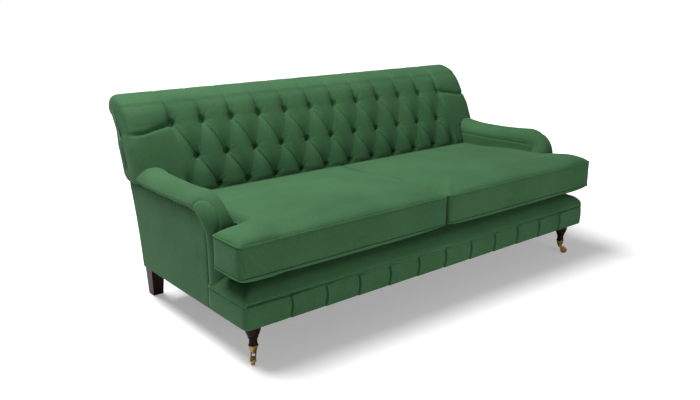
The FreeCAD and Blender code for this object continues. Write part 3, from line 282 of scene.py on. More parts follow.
finish_nodes(["back_webbing"], jute("jute_webbing"))

# Padded seat platform
# A stuffed platform over the springs, covered in the sofa's velvet. Its front and its two sides
# are rolled down to a seam above the border, and the loose cushions lie on it.
velvet_deep = (0.029, 0.087, 0.034, 1.0)
velvet_light = (0.041, 0.113, 0.048, 1.0)
velvet_bloom = (0.55, 0.86, 0.60, 1.0)
velvet_gloss = 0.12
velvet_sheen = 0.10
platform_low, platform_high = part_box("seat_platform")
half_width = platform_high.x
lip_front = 0.011
lip_seam = platform_low.z
lip_edge = lip_seam + 0.013
lip_roll = 0.050
lip_roll_top = lip_seam + 0.060
lip_reach = 0.160
lip_blend = 0.004
lip_rim = 0.0015
deck_top = platform_high.z
deck_underside = lip_seam + 0.0063
arm_front = 0.261
deck_inner_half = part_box("right_arm_stump")[0].x - 0.0003
deck_corner = 0.022
deck_corner_draw = 0.0075
deck_low_start = lip_front + 0.03


def velvet(name):
    """Cotton velvet: clouded pile, fine upright slubs, a short soft nap and a pale sheen."""
    material, tree, shader, place = bare_material(name)
    link = tree.links.new
    upright = node(tree, "ShaderNodeMapping")
    upright.inputs["Scale"].default_value = (1.0, 1.0, 0.30)
    cloud = node(tree, "ShaderNodeTexNoise", {"Scale": 4.5, "Detail": 4.0, "Roughness": 0.55})
    slub = node(tree, "ShaderNodeTexNoise", {"Scale": 190.0, "Detail": 3.0, "Roughness": 0.6})
    nap = node(tree, "ShaderNodeTexNoise", {"Scale": 900.0, "Detail": 2.0})
    mixed = node(tree, "ShaderNodeMath", operation="ADD")
    share = node(tree, "ShaderNodeMapRange", {"From Min": 0.75, "From Max": 1.25})
    tint = node(tree, "ShaderNodeMix", data_type="RGBA")
    tint.inputs["A"].default_value = velvet_deep
    tint.inputs["B"].default_value = velvet_light
    rough = node(tree, "ShaderNodeMapRange", {"To Min": 0.72, "To Max": 0.95})
    height = node(tree, "ShaderNodeMath", operation="MULTIPLY_ADD")
    height.inputs[1].default_value = 0.35
    bump = node(tree, "ShaderNodeBump", {"Strength": 0.4, "Distance": 0.0005})
    for patterned in (upright, cloud, nap):
        link(place, patterned.inputs["Vector"])
    link(upright.outputs["Vector"], slub.inputs["Vector"])
    link(cloud.outputs["Fac"], mixed.inputs[0])
    link(slub.outputs["Fac"], mixed.inputs[1])
    link(mixed.outputs[0], share.inputs["Value"])
    link(share.outputs["Result"], tint.inputs["Factor"])
    link(tint.outputs["Result"], shader.inputs["Base Color"])
    link(nap.outputs["Fac"], rough.inputs["Value"])
    link(rough.outputs["Result"], shader.inputs["Roughness"])
    link(slub.outputs["Fac"], height.inputs[0])
    link(nap.outputs["Fac"], height.inputs[2])
    link(height.outputs[0], bump.inputs["Height"])
    link(bump.outputs["Normal"], shader.inputs["Normal"])
    shader.inputs["Specular IOR Level"].default_value = velvet_gloss
    shader.inputs["Sheen Weight"].default_value = velvet_sheen
    shader.inputs["Sheen Roughness"].default_value = 0.42
    shader.inputs["Sheen Tint"].default_value = velvet_bloom
    return material


cover = velvet("green_velvet")


def piece_of(name, points, faces, material):
    """A smooth closed mesh in the sofa's frame, with its faces turned outwards."""
    mesh = bpy.data.meshes.new(name)
    mesh.from_pydata([tuple(p) for p in points], [], faces)
    mesh.materials.append(material)
    work = bmesh.new()
    work.from_mesh(mesh)
    bmesh.ops.remove_doubles(work, verts=work.verts, dist=1e-6)
    bmesh.ops.recalc_face_normals(work, faces=work.faces)
    for face in work.faces:
        face.smooth = True
    work.to_mesh(mesh)
    work.free()
    piece = bpy.data.objects.new(name, mesh)
    bpy.context.scene.collection.objects.link(piece)
    return piece


def skin(name, rings, material):
    """Join closed rings of points into a skin, and close its two ends with a fan."""
    rings = np.asarray(rings, float)
    count, size = rings.shape[:2]
    points = rings.reshape(-1, 3)
    faces = []
    for i in range(count - 1):
        for j in range(size):
            k = (j + 1) % size
            faces.append((i * size + j, i * size + k, (i + 1) * size + k, (i + 1) * size + j))
    points = np.vstack([points, rings[0].mean(0), rings[-1].mean(0)])
    first, last = count * size, count * size + 1
    base = (count - 1) * size
    for j in range(size):
        k = (j + 1) % size
        faces.append((j, k, first))
        faces.append((base + j, base + k, last))
    return piece_of(name, points, faces, material)


def lip_height(t):
    """Height of the rolled edge at a distance t in from the platform's outer edge."""
    roll = np.clip(t / lip_roll, 0, 1)
    slope = np.clip((t - lip_roll) / (lip_reach - lip_roll), 0, 1)
    rolled = lip_edge + (lip_roll_top - lip_edge) * np.sin(roll * math.pi / 2) ** 0.75
    return rolled + (deck_top - lip_roll_top) * (1 - (1 - slope) ** 1.7)


def platform_height(x, depth):
    """Height of the platform's cover, rolled down towards its front and its sides."""
    beside_arm = np.where(depth > arm_front, lip_reach, 0)
    side = lip_height(half_width - np.abs(x) + beside_arm)
    front = lip_height(depth - lip_front)
    return -lip_blend * np.logaddexp(-side / lip_blend, -front / lip_blend)


def rounded_plan(x, depth):
    """Round the platform's two front corners in plan."""
    from_side = half_width - np.abs(x)
    from_front = depth - lip_front
    side_share = np.clip(1 - from_side / deck_corner, 0, 1)
    front_share = np.clip(1 - from_front / deck_corner, 0, 1)
    inward = deck_corner_draw * side_share * front_share ** 2
    rearward = deck_corner_draw * front_share * side_share ** 2
    return x - np.sign(x) * inward, depth + rearward


def platform_piece():
    """Top, rim and underside, built as stations from front to back of rings across."""
    edge_steps = lip_reach * np.array([0, 0.012, 0.03, 0.055, 0.09, 0.14, 0.20, 0.28, 0.36, 0.45, 0.56,
                                       0.70, 0.85, 1.0])
    underside = slice(None, None, -12)
    inner = np.linspace(-(half_width - lip_reach), half_width - lip_reach, 120)[1:-1]
    across = np.concatenate([-(half_width - edge_steps), inner, (half_width - edge_steps)[::-1]])
    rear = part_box("seat_platform")[1].y - seat_front
    along = np.concatenate([lip_front + edge_steps, np.linspace(lip_front + lip_reach, arm_front, 8)[1:],
                            [arm_front + 0.0002], np.linspace(arm_front, rear - 0.01, 20)[1:]])
    rings = []
    for depth in along:
        x = across.copy()
        if depth > arm_front:
            x = np.clip(x, -deck_inner_half, deck_inner_half)
        px, pd = rounded_plan(x, np.full_like(x, depth))
        top = np.stack([px, seat_front + pd, platform_height(x, depth)], 1)
        mid_left = [px[0] - lip_rim, seat_front + pd[0], (lip_seam + lip_edge) / 2]
        mid_right = [px[-1] + lip_rim, seat_front + pd[-1], (lip_seam + lip_edge) / 2]
        low_x = px[underside]
        low = np.stack([low_x, seat_front + pd[underside], np.full(len(low_x), lip_seam + 0.0003)], 1)
        if depth > deck_low_start:
            low[1:-1, 2] = deck_underside
        rings.append(np.vstack([top, [mid_right], low, [mid_left]]))
    return skin("seat_platform_cover", rings, cover)


platform = platform_piece()
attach(platform, "sofa_frame")
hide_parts("seat_platform")

# Pleated border
# A fitted band of velvet over thin wadding, from the seam of the platform down to the underside of
# the rails. In front it is folded into a row of small knife pleats; its ends turn back at the arms.
border_low, border_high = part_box("front_border")
border_floor = border_low.z
border_top = border_high.z
border_corner = 0.024
border_round = 0.009
border_thickness = 0.0094
border_tuck = 0.004
border_crown = 0.0022
border_end_marks = (0.86, 0.90, 0.93)
pleat_count = 11
pleat_end_margin = 0.1935
pleat_pitch = 2 * (half_width - pleat_end_margin) / (pleat_count - 1)
pleat_marks = [-(half_width - pleat_end_margin) + pleat_pitch * index for index in range(pleat_count)]
pleat_bow = 0.007
pleat_lift = 0.0042
pleat_tuck = 0.0058
pleat_fade = 0.045
pleat_groove = 0.004


def border_path():
    """Plan points of the border's face from the left arm round the front to the right arm."""
    side_end = border_high.y - seat_front
    centre_x = half_width - border_corner
    centre_depth = lip_front + border_corner
    turn = np.linspace(0, math.pi / 2, 9)
    offsets = np.array([-0.05, -0.03, -0.017, -0.010, -0.007, -0.005, -0.0036, -0.0022, -0.0010, -0.0002,
                        0.0006, 0.0016, 0.004, 0.009, 0.017, 0.028, 0.045])
    ends = np.array(border_end_marks + (centre_x,))
    across = np.concatenate([-ends[::-1]] + [mark + offsets for mark in pleat_marks] + [ends])
    side = np.linspace(side_end, centre_depth, 26)
    path = [(-half_width, depth, -1.0, 0.0) for depth in side[:-1]]
    path += [(-centre_x - border_corner * math.cos(a), centre_depth - border_corner * math.sin(a),
              -math.cos(a), -math.sin(a)) for a in turn]
    path += [(x, lip_front, 0.0, -1.0) for x in across[1:-1]]
    path += [(centre_x + border_corner * math.sin(a), centre_depth - border_corner * math.cos(a),
              math.sin(a), -math.cos(a)) for a in turn]
    path += [(half_width, depth, 1.0, 0.0) for depth in side[::-1][1:]]
    return np.array(path)


def pleat_relief(x, low_share):
    """Height of the cloth along the front: it rises to each pleat's fold and drops behind it."""
    relief = np.zeros_like(x)
    for mark in pleat_marks:
        gap = x - mark
        before = -np.exp(-np.abs(gap) / (0.35 * pleat_fade)) * pleat_tuck
        after = np.exp(-np.abs(gap) / pleat_fade) * pleat_lift
        near = np.abs(gap) < pleat_pitch / 2
        groove = -pleat_groove * np.exp(-((gap + 0.0022) / 0.0020) ** 2)
        relief += np.where(near, np.where(gap < 0, before, after) + groove, 0)
    return relief * (1 - 0.35 * low_share)


def border_piece():
    """The band as rings round its section, one at each point of its path."""
    path = border_path()
    x, depth, nx, ny = path.T
    on_front = (ny < -0.999).astype(float)
    rows = []
    for share in np.linspace(0, 1, 12):
        z = border_top + border_tuck - share * (border_top - border_floor - border_round + border_tuck)
        bow = pleat_bow * 4 * share * (1 - share) * on_front
        crown = border_crown * math.sin(math.pi * share)
        top_draw = -0.0015 * math.exp(-share * 14)
        relief = pleat_relief(x, share) * on_front + crown + top_draw - 0.0008
        rows.append(np.stack([x + nx * relief + bow, seat_front + depth + ny * relief,
                              np.full_like(x, z)], 1))
    relief = (pleat_relief(x, 1.0) * on_front * 0.8)[:, None]
    normal = np.stack([nx, ny, np.zeros_like(nx)], 1)
    base = np.stack([x, seat_front + depth, np.zeros_like(x)], 1)
    for angle in np.linspace(0.3, math.pi / 2, 4):
        inward = border_round * (1 - math.cos(angle))
        z = border_floor + border_round * (1 - math.sin(angle))
        rows.append(base + normal * (relief - inward) + np.array([0, 0, z]))
    back = base - normal * border_thickness
    rows.append(back + np.array([0, 0, border_floor + 0.0004]))
    rows.append(back + np.array([0, 0, border_top + border_tuck]))
    return skin("pleated_border", np.stack(rows, 1), cover)


border = border_piece()
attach(border, "sofa_frame")
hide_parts("front_border")

# Outside arm panels and inside arms
# Velvet over wadding on the frame's sides. The outside panel is blind-sewn down its front edge and
# tacked in small gathers under the arm roll. The inside panel runs down to the deck.
outside_low, outside_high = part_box("right_outside_arm")
panel_bottom = outside_low.z
panel_top = outside_high.z
panel_inner = outside_low.x
panel_front = outside_low.y - seat_front
panel_lean = 0.012
panel_lean_height = 0.440
panel_puff = 0.0035
panel_rounding = 0.0055
panel_rear_gap = 0.0015
panel_inset = 0.0022
sweep_foot_depth = 0.838
sweep_top_depth = 1.035
sweep_top_height = 0.785
sweep_bow = 0.0325
sweep_rise = sweep_top_height - panel_bottom
sweep_run = sweep_top_depth - sweep_foot_depth
sweep_chord = math.hypot(sweep_rise, sweep_run)
sweep_radius = (sweep_chord ** 2 / 4 + sweep_bow ** 2) / (2 * sweep_bow)
sweep_offset = sweep_radius - sweep_bow
sweep_centre_depth = (sweep_foot_depth + sweep_top_depth) / 2 + sweep_offset * sweep_rise / sweep_chord
sweep_centre_height = (panel_bottom + sweep_top_height) / 2 - sweep_offset * sweep_run / sweep_chord
gather_pitch = 0.021
gather_rise = 0.0032
gather_fall = 0.030
roll_half = 0.066
column_slim = 0.64
column_slim_span = 0.28
column_slim_start = 0.62
lining_cover = 0.0678
lining_rise = 0.022
lining_proud = 0.0018
lining_tuck = 0.0075
waist_heights = (0.42, 0.50)


def sweep(inset, height):
    """Depth of the swept curve that lies inset in front of the outside back."""
    radius = sweep_radius + inset
    return sweep_centre_depth - np.sqrt(radius ** 2 - (height - sweep_centre_height) ** 2)


def panel_front_edge(z):
    """Depth of the panel's front edge, which leans back near the top."""
    share = np.clip((z - panel_lean_height) / (panel_top - panel_lean_height), 0, 1)
    return panel_front + panel_lean * share ** 3


def gathers(along, down):
    """Small upright puckers of the cloth below a row of tacks, uneven as hand-set ones are."""
    wander = along + 0.004 * np.sin(along * 61.0) + 0.003 * np.sin(along * 143.0 + 1.0)
    ridge = np.abs(np.sin(math.pi * wander / gather_pitch)) ** 0.7
    uneven = 0.75 + 0.35 * np.sin(along * 47.0 + 2.0)
    return gather_rise * ridge * uneven * np.exp(-down / gather_fall)


def outside_panel(side):
    """The panel as rings stacked from the floor side up to the tacks."""
    heights = np.concatenate([[panel_bottom, panel_bottom + 0.0015, panel_bottom + 0.004],
                              np.linspace(panel_bottom + 0.009, panel_top - 0.07, 44),
                              np.linspace(panel_top - 0.066, panel_top, 22)])
    rings = []
    for z in heights:
        front = panel_front_edge(z)
        rear = sweep(0, z) - panel_rear_gap
        share = np.concatenate([[0, 0.002, 0.005, 0.01, 0.018], np.linspace(0.03, 0.97, 150),
                                [0.982, 0.99, 0.995, 0.998, 1.0]])
        depth = front + share * (rear - front)
        edge = np.minimum(depth - front, rear - depth)
        rounding = panel_rounding * np.exp(-edge / 0.004)
        foot = 0.004 * math.exp(-(z - panel_bottom) / 0.002)
        up = (z - panel_bottom) / (panel_top - panel_bottom)
        puff = panel_puff * np.sin(math.pi * np.clip(share, 0, 1)) ** 0.6
        puff = puff * math.sin(math.pi * min(1, up)) ** 0.5
        top_draw = -0.004 * math.exp(-(panel_top - z) / 0.008)
        ripple = gathers(depth, panel_top - z) * np.clip(edge / 0.03, 0, 1)
        outer = half_width - panel_inset + puff - rounding - foot + ripple + top_draw
        back = np.linspace(rear, front, 12)
        ring = [(side * px, seat_front + d, z) for px, d in zip(outer, depth)]
        ring += [(side * (panel_inner + 0.0003), seat_front + d, z) for d in back]
        rings.append(ring)
    return skin("left_outside_arm_cover" if side < 0 else "right_outside_arm_cover", rings, cover)


def smooth_step(value, low, high):
    """Share from nothing at the low mark to one at the high mark, level at both ends."""
    share = np.clip((value - low) / (high - low), 0, 1)
    return share * share * (3 - 2 * share)


def roll_slim(depth):
    """Share of its inner width that the roll keeps: it narrows towards its front."""
    return 1 - (1 - column_slim) * smooth_step(column_slim_start - depth, 0.0, column_slim_span)


def inside_panel(side):
    """A softly filled slab from the deck up to the arm roll."""
    low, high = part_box("right_inside_arm")
    heights = np.linspace(low.z, high.z + lining_rise, 30)
    rings = []
    for z in heights:
        front = low.y - seat_front + 0.001
        rear = sweep(lining_cover, z) - 0.001
        depth = np.linspace(front, rear, 60)
        edge = np.minimum(depth - front, rear - depth)
        waist = (roll_half * (1 - roll_slim(depth)) - lining_proud) * smooth_step(z, *waist_heights)
        tuck = lining_tuck * smooth_step(z, high.z - 0.004, high.z + lining_rise)
        inner = low.x - 0.0004 + 0.002 * np.exp(-edge / 0.006) + waist + tuck
        ring = [(side * px, seat_front + d, z) for px, d in zip(inner, depth)]
        ring += [(side * (high.x - 0.0005), seat_front + d, z) for d in np.linspace(rear, front, 8)]
        rings.append(ring)
    return skin("left_inside_arm_cover" if side < 0 else "right_inside_arm_cover", rings, cover)


for side, word in ((-1, "left"), (1, "right")):
    panel = outside_panel(side)
    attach(panel, "sofa_frame")
    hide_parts(word + "_outside_arm")
    lining = inside_panel(side)
    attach(lining, "sofa_frame")
    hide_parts(word + "_inside_arm")

# Arm rolls
# Each arm is one stuffed roll along its board. It dips a little behind its front, then turns down
# over the front into a narrow column that stands on the platform. Its outer edge is tacked in gathers.
roll_centre = 0.932
roll_foot = half_width - roll_centre
board_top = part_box("right_arm_board")[1].z
roll_base = board_top + 0.0003
swell_dip = 0.060
swell_rise = 0.015
dip_depth = 0.600
dip_span = 0.270
rear_hump = 0.010
hump_depths = (0.66, 0.82)
roll_overhang = 0.022
rear_overhang_share = 0.45
overhang_loss = 0.55
overhang_depths = (0.72, 0.86)
column_bulge = 0.006
column_waist = 0.06
column_draw = 0.004
turn_centre = (0.335, 0.460)
turn_reach = 0.141
column_base = 0.2627
column_foot = 0.262
board_stations = 150
turn_stations = 48
column_stations = 30
roll_rear = 0.905
roll_rear_round = 0.012
gather_rows = 16
gather_depth = 3.2
gather_drop = 0.8
flank_points = 20
crown_points = 28
cap_swell = 0.0035
cap_seam = 0.0028
cap_turn = (math.radians(56), math.radians(38))
cap_side = (0.44, 0.42)


def arc(a, b, c, count):
    """Points of the arc through three plane points, the last one left out."""
    (ax, ay), (bx, by), (cx, cy) = a, b, c
    d = 2 * (ax * (by - cy) + bx * (cy - ay) + cx * (ay - by))
    a2, b2, c2 = ax * ax + ay * ay, bx * bx + by * by, cx * cx + cy * cy
    ox = (a2 * (by - cy) + b2 * (cy - ay) + c2 * (ay - by)) / d
    oy = (a2 * (cx - bx) + b2 * (ax - cx) + c2 * (bx - ax)) / d
    start = math.atan2(ay - oy, ax - ox)
    turn = (math.atan2(cy - oy, cx - ox) - start) % (2 * math.pi)
    if (math.atan2(by - oy, bx - ox) - start) % (2 * math.pi) > turn:
        turn -= 2 * math.pi
    radius = math.hypot(ax - ox, ay - oy)
    angles = start + turn * np.arange(count) / count
    return np.stack([ox + radius * np.cos(angles), oy + radius * np.sin(angles)], 1)


def roll_outline(swell, bulge):
    """The roll in section as (outward side, height) points, from its outer foot over the crown."""
    foot = (roll_foot - 0.001, 0.0)
    flank = (roll_foot + bulge, 0.42 * swell)
    crown = (0.0, swell)
    inner = (-roll_half, 0.30 * swell)
    points = [arc(foot, (roll_foot + 0.75 * bulge, 0.17 * swell), flank, flank_points),
              arc(flank, (0.67 * (roll_foot + bulge), 0.83 * swell), crown, crown_points),
              arc(crown, (-0.70 * roll_half, 0.80 * swell), inner, 16),
              np.array([inner, (-roll_half, 0.15 * swell), (-roll_half, 0.0)]),
              np.linspace((-roll_half, 0.0), (roll_foot, 0.0), 8)[1:-1]]
    return np.vstack(points)


def roll_swell(depth):
    """Height of the roll over its board, lowest at the dip and fullest at its rear."""
    dip = swell_rise * ((depth - dip_depth) / dip_span) ** 2
    return swell_dip + dip + rear_hump * smooth_step(depth, *hump_depths)


def arm_roll(side):
    """The roll as sections from its rear end along the board, round the front and down the column."""
    rings = []

    def add(base, outward, swell, bulge, tacked, slim, angle=0.0):
        """Add one section, whose crown lies outward from its base."""
        outline = roll_outline(swell, bulge)
        count = len(outline)
        proud = np.zeros(count)
        if tacked > 0:
            drawn = gathers(np.full(gather_rows, base[0] + 0.007), np.linspace(0.0, 0.04, gather_rows))
            proud[:gather_rows] = -tacked * gather_depth * drawn
        share = np.arange(count) / (flank_points + crown_points)
        reach = np.hypot((angle - cap_turn[0]) / cap_turn[1], (share - cap_side[0]) / cap_side[1])
        seam = cap_seam * np.exp(-((reach - 1.03) / 0.08) ** 2)
        cap = cap_swell * np.sqrt(np.clip(1 - reach ** 2, 0, 1)) - seam
        turned = np.clip(share, 0, 1) * math.pi / 2
        on_cap = np.where(share < 1, cap, 0) * (angle > 0)
        across = outline[:, 0] + proud + on_cap * np.cos(turned)
        rise = outline[:, 1] + on_cap * np.sin(turned) - gather_drop * proud
        across = np.where(across < 0, across * slim, across)
        rings.append(np.stack([side * (roll_centre + across), seat_front + base[0] + outward[0] * rise,
                               base[1] + outward[1] * rise], 1))

    for share in (0.35, 0.7, 0.9):
        swell = roll_swell(roll_rear) * math.sin(share * math.pi / 2)
        base = (roll_rear - roll_rear_round * (share - 0.35), roll_base)
        add(base, (0.0, 1.0), swell, rear_overhang_share * roll_overhang * share, 0, 1.0)
    for depth in np.linspace(roll_rear - roll_rear_round, turn_centre[0], board_stations):
        slim = roll_slim(depth)
        bulge = roll_overhang * (1 - overhang_loss * smooth_step(depth, *overhang_depths))
        add((depth, roll_base), (0.0, 1.0), roll_swell(depth), bulge, 1.0, slim)
    top = roll_base + roll_swell(turn_centre[0])
    hub = (turn_centre[0] - column_base, roll_base - turn_centre[1])
    for step in range(1, turn_stations + 1):
        share = step / turn_stations
        angle = share * math.pi / 2
        ahead, above = math.sin(angle), math.cos(angle)
        base = (turn_centre[0] - hub[0] * ahead, turn_centre[1] + hub[1] * above)
        tip = (turn_centre[0] - turn_reach * ahead, turn_centre[1] + (top - turn_centre[1]) * above)
        run = (tip[0] - base[0], tip[1] - base[1])
        swell = math.hypot(*run)
        bulge = column_bulge + (roll_overhang - column_bulge) * (1 - share ** 2)
        add(base, (run[0] / swell, run[1] / swell), swell, bulge, max(0.0, 1 - 2.5 * share),
            column_slim + (1 - column_slim) * smooth_step(share, 0.45, 1.0), angle)
    column = turn_centre[0] - turn_reach
    for share in np.linspace(0, 1, column_stations)[1:]:
        z = turn_centre[1] - share * (turn_centre[1] - column_foot)
        swell = (column_base - column) * (1 - column_waist * math.sin(math.pi * share))
        outline = roll_outline(swell, column_bulge * (1 - 0.6 * share))
        drawn = np.where(outline[:, 0] < 0, 0, column_draw * smooth_step(share, 0, 0.25))
        x = roll_centre + (outline[:, 0] - drawn)
        depth = column_base - outline[:, 1]
        low = platform_height(x, depth) - 0.003
        rings.append(np.stack([side * x, seat_front + depth, np.maximum(z, low)], 1))
    return skin("left_arm_roll" if side < 0 else "right_arm_roll", rings, cover)


for side, word in ((-1, "left"), (1, "right")):
    roll = arm_roll(side)
    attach(roll, "sofa_frame")
    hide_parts(word + "_arm_pad")

# Deep-buttoned back
# Thick stuffing under one sheet of velvet, drawn down to the webbing by three rows of buttons. The
# spare cloth is folded along the diamonds and in upright pleats over the roll at the top.
back_low, back_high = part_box("back_pad")
half_back = back_high.x
button_pitch = 0.1438
row_height = (0.739, 0.607, 0.484)
row_cover = (0.1326, 0.1433, 0.1510)
row_depth = tuple(float(sweep(0, z)) - cover_depth for z, cover_depth in zip(row_height, row_cover))
row_spacing = 0.140
button_rows = (("top", 1, 12), ("middle", 2, 11), ("bottom", 3, 10))
end_button = 5.5
swell_full = 0.037
swell_middle = 0.03
ridge_swell = 0.14
uneven_fill = (-0.09, 0.07)
pocket_power = 0.24
soft_crease = 0.90
sharp_crease = 0.78
fold_width = 0.0024
fold_sink = 0.0036
fold_spacing = 0.129
flap_rise = 0.0016
sag_full = 0.007
button_hollow = 0.0095
button_depth = 0.0045
button_flare = 3.2
strain_count = 9
strain_rise = 0.0010
strain_reach = 0.024
strain_width = 0.014
pad_floor = back_low.z
foot_depth = float(sweep(0, pad_floor)) - 0.1452
pad_rear_inset = 0.0669
top_rail_inset = 0.0034
top_rail_cover = 0.8003
ridge = (1.004, 0.864)
rear_roll = (1.064, 0.812)
tack_height = 0.7853
tack_line = (float(sweep(-0.0003, tack_height)), tack_height)
roll_bow = 0.020
wing_row = 2.375
wing_start = 0.12
wing_pleat_reach = 0.14
wing_pleat_rise = 0.20
wing_pleat_soft = (0.55, 0.16)
wing_pleat_dip = (0.07, 0.06)
wing_pleat_groove = (0.24, 0.042)
wing_bow = 0.020
wing_bow_gain = 0.008
wing_bow_span = 0.06
upright_crease = 0.70
upright_start = 0.5
arm_line = 0.560
row_steps = 24
main_half = 0.8657
wing_wood = 0.9683
cheek_start = 0.928
cheek_power = 4.2
cheek_bulge = 0.009
cheek_top = 0.72
wing_drop = 0.034
wing_drop_top = 0.67


def circle_through(points):
    """Centre and radius of the circle through three points of the section."""
    (ay, az), (by, bz), (cy, cz) = points
    d = 2 * (ay * (bz - cz) + by * (cz - az) + cy * (az - bz))
    a2, b2, c2 = ay * ay + az * az, by * by + bz * bz, cy * cy + cz * cz
    oy = (a2 * (bz - cz) + b2 * (cz - az) + c2 * (az - bz)) / d
    oz = (a2 * (cy - by) + b2 * (ay - cy) + c2 * (by - ay)) / d
    return oy, oz, math.hypot(ay - oy, az - oz)


button_arc = circle_through(list(zip(row_depth, row_height)))
row_angle = [math.atan2(z - button_arc[1], button_arc[0] - d) for d, z in zip(row_depth, row_height)]


def button_seat(row):
    """Point and outward direction on the arc of the button seats; row runs from 1 to 3."""
    low = min(max(int(math.floor(row)), 1), 2)
    angle = row_angle[low - 1] + (row - low) * (row_angle[low] - row_angle[low - 1])
    forward = (-math.cos(angle), math.sin(angle))
    return (button_arc[0] + button_arc[2] * forward[0], button_arc[1] + button_arc[2] * forward[1]), forward


def back_levels():
    """Levels of the outer face: (depth, height, normal depth, normal height, swell share, row)."""
    levels = []
    last, last_forward = button_seat(3)
    for share in np.linspace(0, 1, 11)[:-1]:
        levels.append((foot_depth + share * (last[0] - foot_depth), pad_floor + share * (last[1] - pad_floor),
                       -1 + share * (last_forward[0] + 1), share * last_forward[1], share ** 0.7, 4 - share))
    for step in range(2 * row_steps + 1):
        row = 3 - step / row_steps
        point, forward = button_seat(row)
        levels.append((point[0], point[1], forward[0], forward[1], 1.0, row))
    first, first_forward = button_seat(1)
    run = (ridge[0] - first[0], ridge[1] - first[1])
    length = math.hypot(*run)
    chord_normal = (-run[1] / length, run[0] / length)
    for share in np.linspace(0, 1, 27)[1:]:
        lift = roll_bow * 4 * share * (1 - share)
        nd = first_forward[0] * (1 - share)
        nz = first_forward[1] * (1 - share) + share
        size = math.hypot(nd, nz)
        swell = float(np.interp(share, (0, 0.30, 0.62, 1.0), (1.0, 0.86, 0.55, ridge_swell)))
        levels.append((first[0] + share * run[0] + lift * chord_normal[0],
                       first[1] + share * run[1] + lift * chord_normal[1],
                       nd / size, nz / size, swell, 1 - share))
    for angle in np.linspace(0, math.pi / 2, 10)[1:]:
        levels.append((ridge[0] + (rear_roll[0] - ridge[0]) * math.sin(angle),
                       rear_roll[1] + (ridge[1] - rear_roll[1]) * math.cos(angle),
                       math.sin(angle), math.cos(angle), ridge_swell * math.cos(angle) ** 2, -angle))
    for angle in np.linspace(0, math.pi / 2, 6)[1:]:
        levels.append((tack_line[0] + (rear_roll[0] - tack_line[0]) * math.cos(angle),
                       rear_roll[1] - (rear_roll[1] - tack_line[1]) * math.sin(angle),
                       1.0, 0.0, 0.0, -2.0))
    return np.array(levels)


rng = np.random.default_rng(7)
fullness = rng.uniform(*uneven_fill, (64, 64))


def diamond(u, row):
    """Fullness of the cloth between buttons, with its creases along the diamonds."""
    first = np.abs(np.sin(math.pi * (u + row / 2)))
    second = np.abs(np.sin(math.pi * (u - row / 2)))
    own = 1 + fullness[np.floor(u + row / 2).astype(int) % 64, np.floor(u - row / 2).astype(int) % 64]
    pocket = (1 - (1 - first ** 2) * (1 - second ** 2)) ** pocket_power
    soft = soft_crease + (1 - soft_crease) * first ** 0.75 * own
    sharp = sharp_crease + (1 - sharp_crease) * second ** 0.50 * own
    return pocket * soft * sharp


def cloth_rise(x, row, swell):
    """How far the cloth stands out from the arc of button seats, in metres."""
    u = x / button_pitch
    inside = np.clip(row, 1, 3)
    shape = diamond(u, inside)
    up = np.clip(1 - row, 0, 1)
    down = np.clip(row - 3, 0, 1)
    column = np.abs(np.cos(math.pi * u))
    upright = upright_crease + (1 - upright_crease) * column ** 0.4
    blend_up = smooth_step(up, 0, upright_start)
    blend_down = np.clip(down / upright_start, 0, 1)
    shape = shape * (1 - blend_up) + upright * blend_up
    shape = shape * (1 - blend_down) + upright * blend_down
    past = np.clip((np.abs(u) - end_button) / wing_start, 0, 1)
    beyond = np.clip((np.abs(u) - end_button) * button_pitch / wing_pleat_reach, 0, 1)
    away = np.abs(row - 1 - wing_pleat_rise * beyond)
    soft, soft_width = wing_pleat_soft
    dip, dip_width = wing_pleat_dip
    groove, groove_width = wing_pleat_groove
    end_pleat = 1 - (1 - beyond) ** 2 * np.exp(-away / soft_width) * soft - dip * np.exp(-away / dip_width)
    end_pleat = end_pleat - groove * np.exp(-(away / groove_width) ** 2)
    edge_shape = diamond(np.sign(u) * end_button * np.ones_like(u), inside)
    edge_shape = edge_shape * (1 - blend_up) + upright * blend_up
    shape = np.where(np.abs(u) > end_button, np.minimum(1, edge_shape * (1 - past) + end_pleat * past), shape)
    rise = swell_full * swell * shape
    upright_fold = np.abs(np.abs(u - np.round(u)) - 0.5) * button_pitch
    outside = np.clip(np.maximum(up, down) / 0.06, 0, 1) * (np.abs(u) <= end_button + 0.05)
    over_ridge = np.clip(1 + row / 1.4, 0, 1)
    rise = rise - fold_sink * np.exp(-(upright_fold / fold_width) ** 2) * outside * over_ridge
    offset = (u - row / 2 - np.round(u - row / 2)) * fold_spacing
    within = (row > 1) & (row < 3) & (np.abs(u) <= end_button)
    line = np.exp(-(offset / fold_width) ** 2) * fold_sink
    flap = flap_rise * np.exp(-np.abs(offset - 0.004) / 0.006) * (offset > 0.001)
    return rise - np.where(within, line - flap, 0)


def button_pull(x, row, rise):
    """Draw the cloth down to each button, with a few short strain folds round it."""
    u = x / button_pitch
    for _, index, count in button_rows:
        half = (count - 1) / 2
        nearest = np.clip(np.round(u - half) + half, -half, half)
        dx = (u - nearest) * button_pitch
        dz = (row - index) * row_spacing
        away = np.hypot(dx, dz)
        angle = np.arctan2(dz, dx)
        near = np.exp(-((away - strain_reach) / strain_width) ** 2)
        strain = strain_rise * np.cos(strain_count * angle + 2.1 * nearest) * near
        limit = np.maximum(0, away - button_hollow) * button_flare - button_depth
        rise = np.minimum(rise + strain, limit)
    return rise


def middle_line(ring):
    """For each point of a section, the point on the section's own middle line that it closes on."""
    height = np.clip(ring[:, 1], arm_line + 0.045, ridge[1] - 0.055)
    rear = sweep(0, np.minimum(height, tack_height))
    front = np.interp(height, row_height[::-1] + ridge[1:],
                      tuple(depth - swell_middle for depth in row_depth[::-1]) + ridge[:1])
    return np.stack([(front + rear) / 2, height], 1)


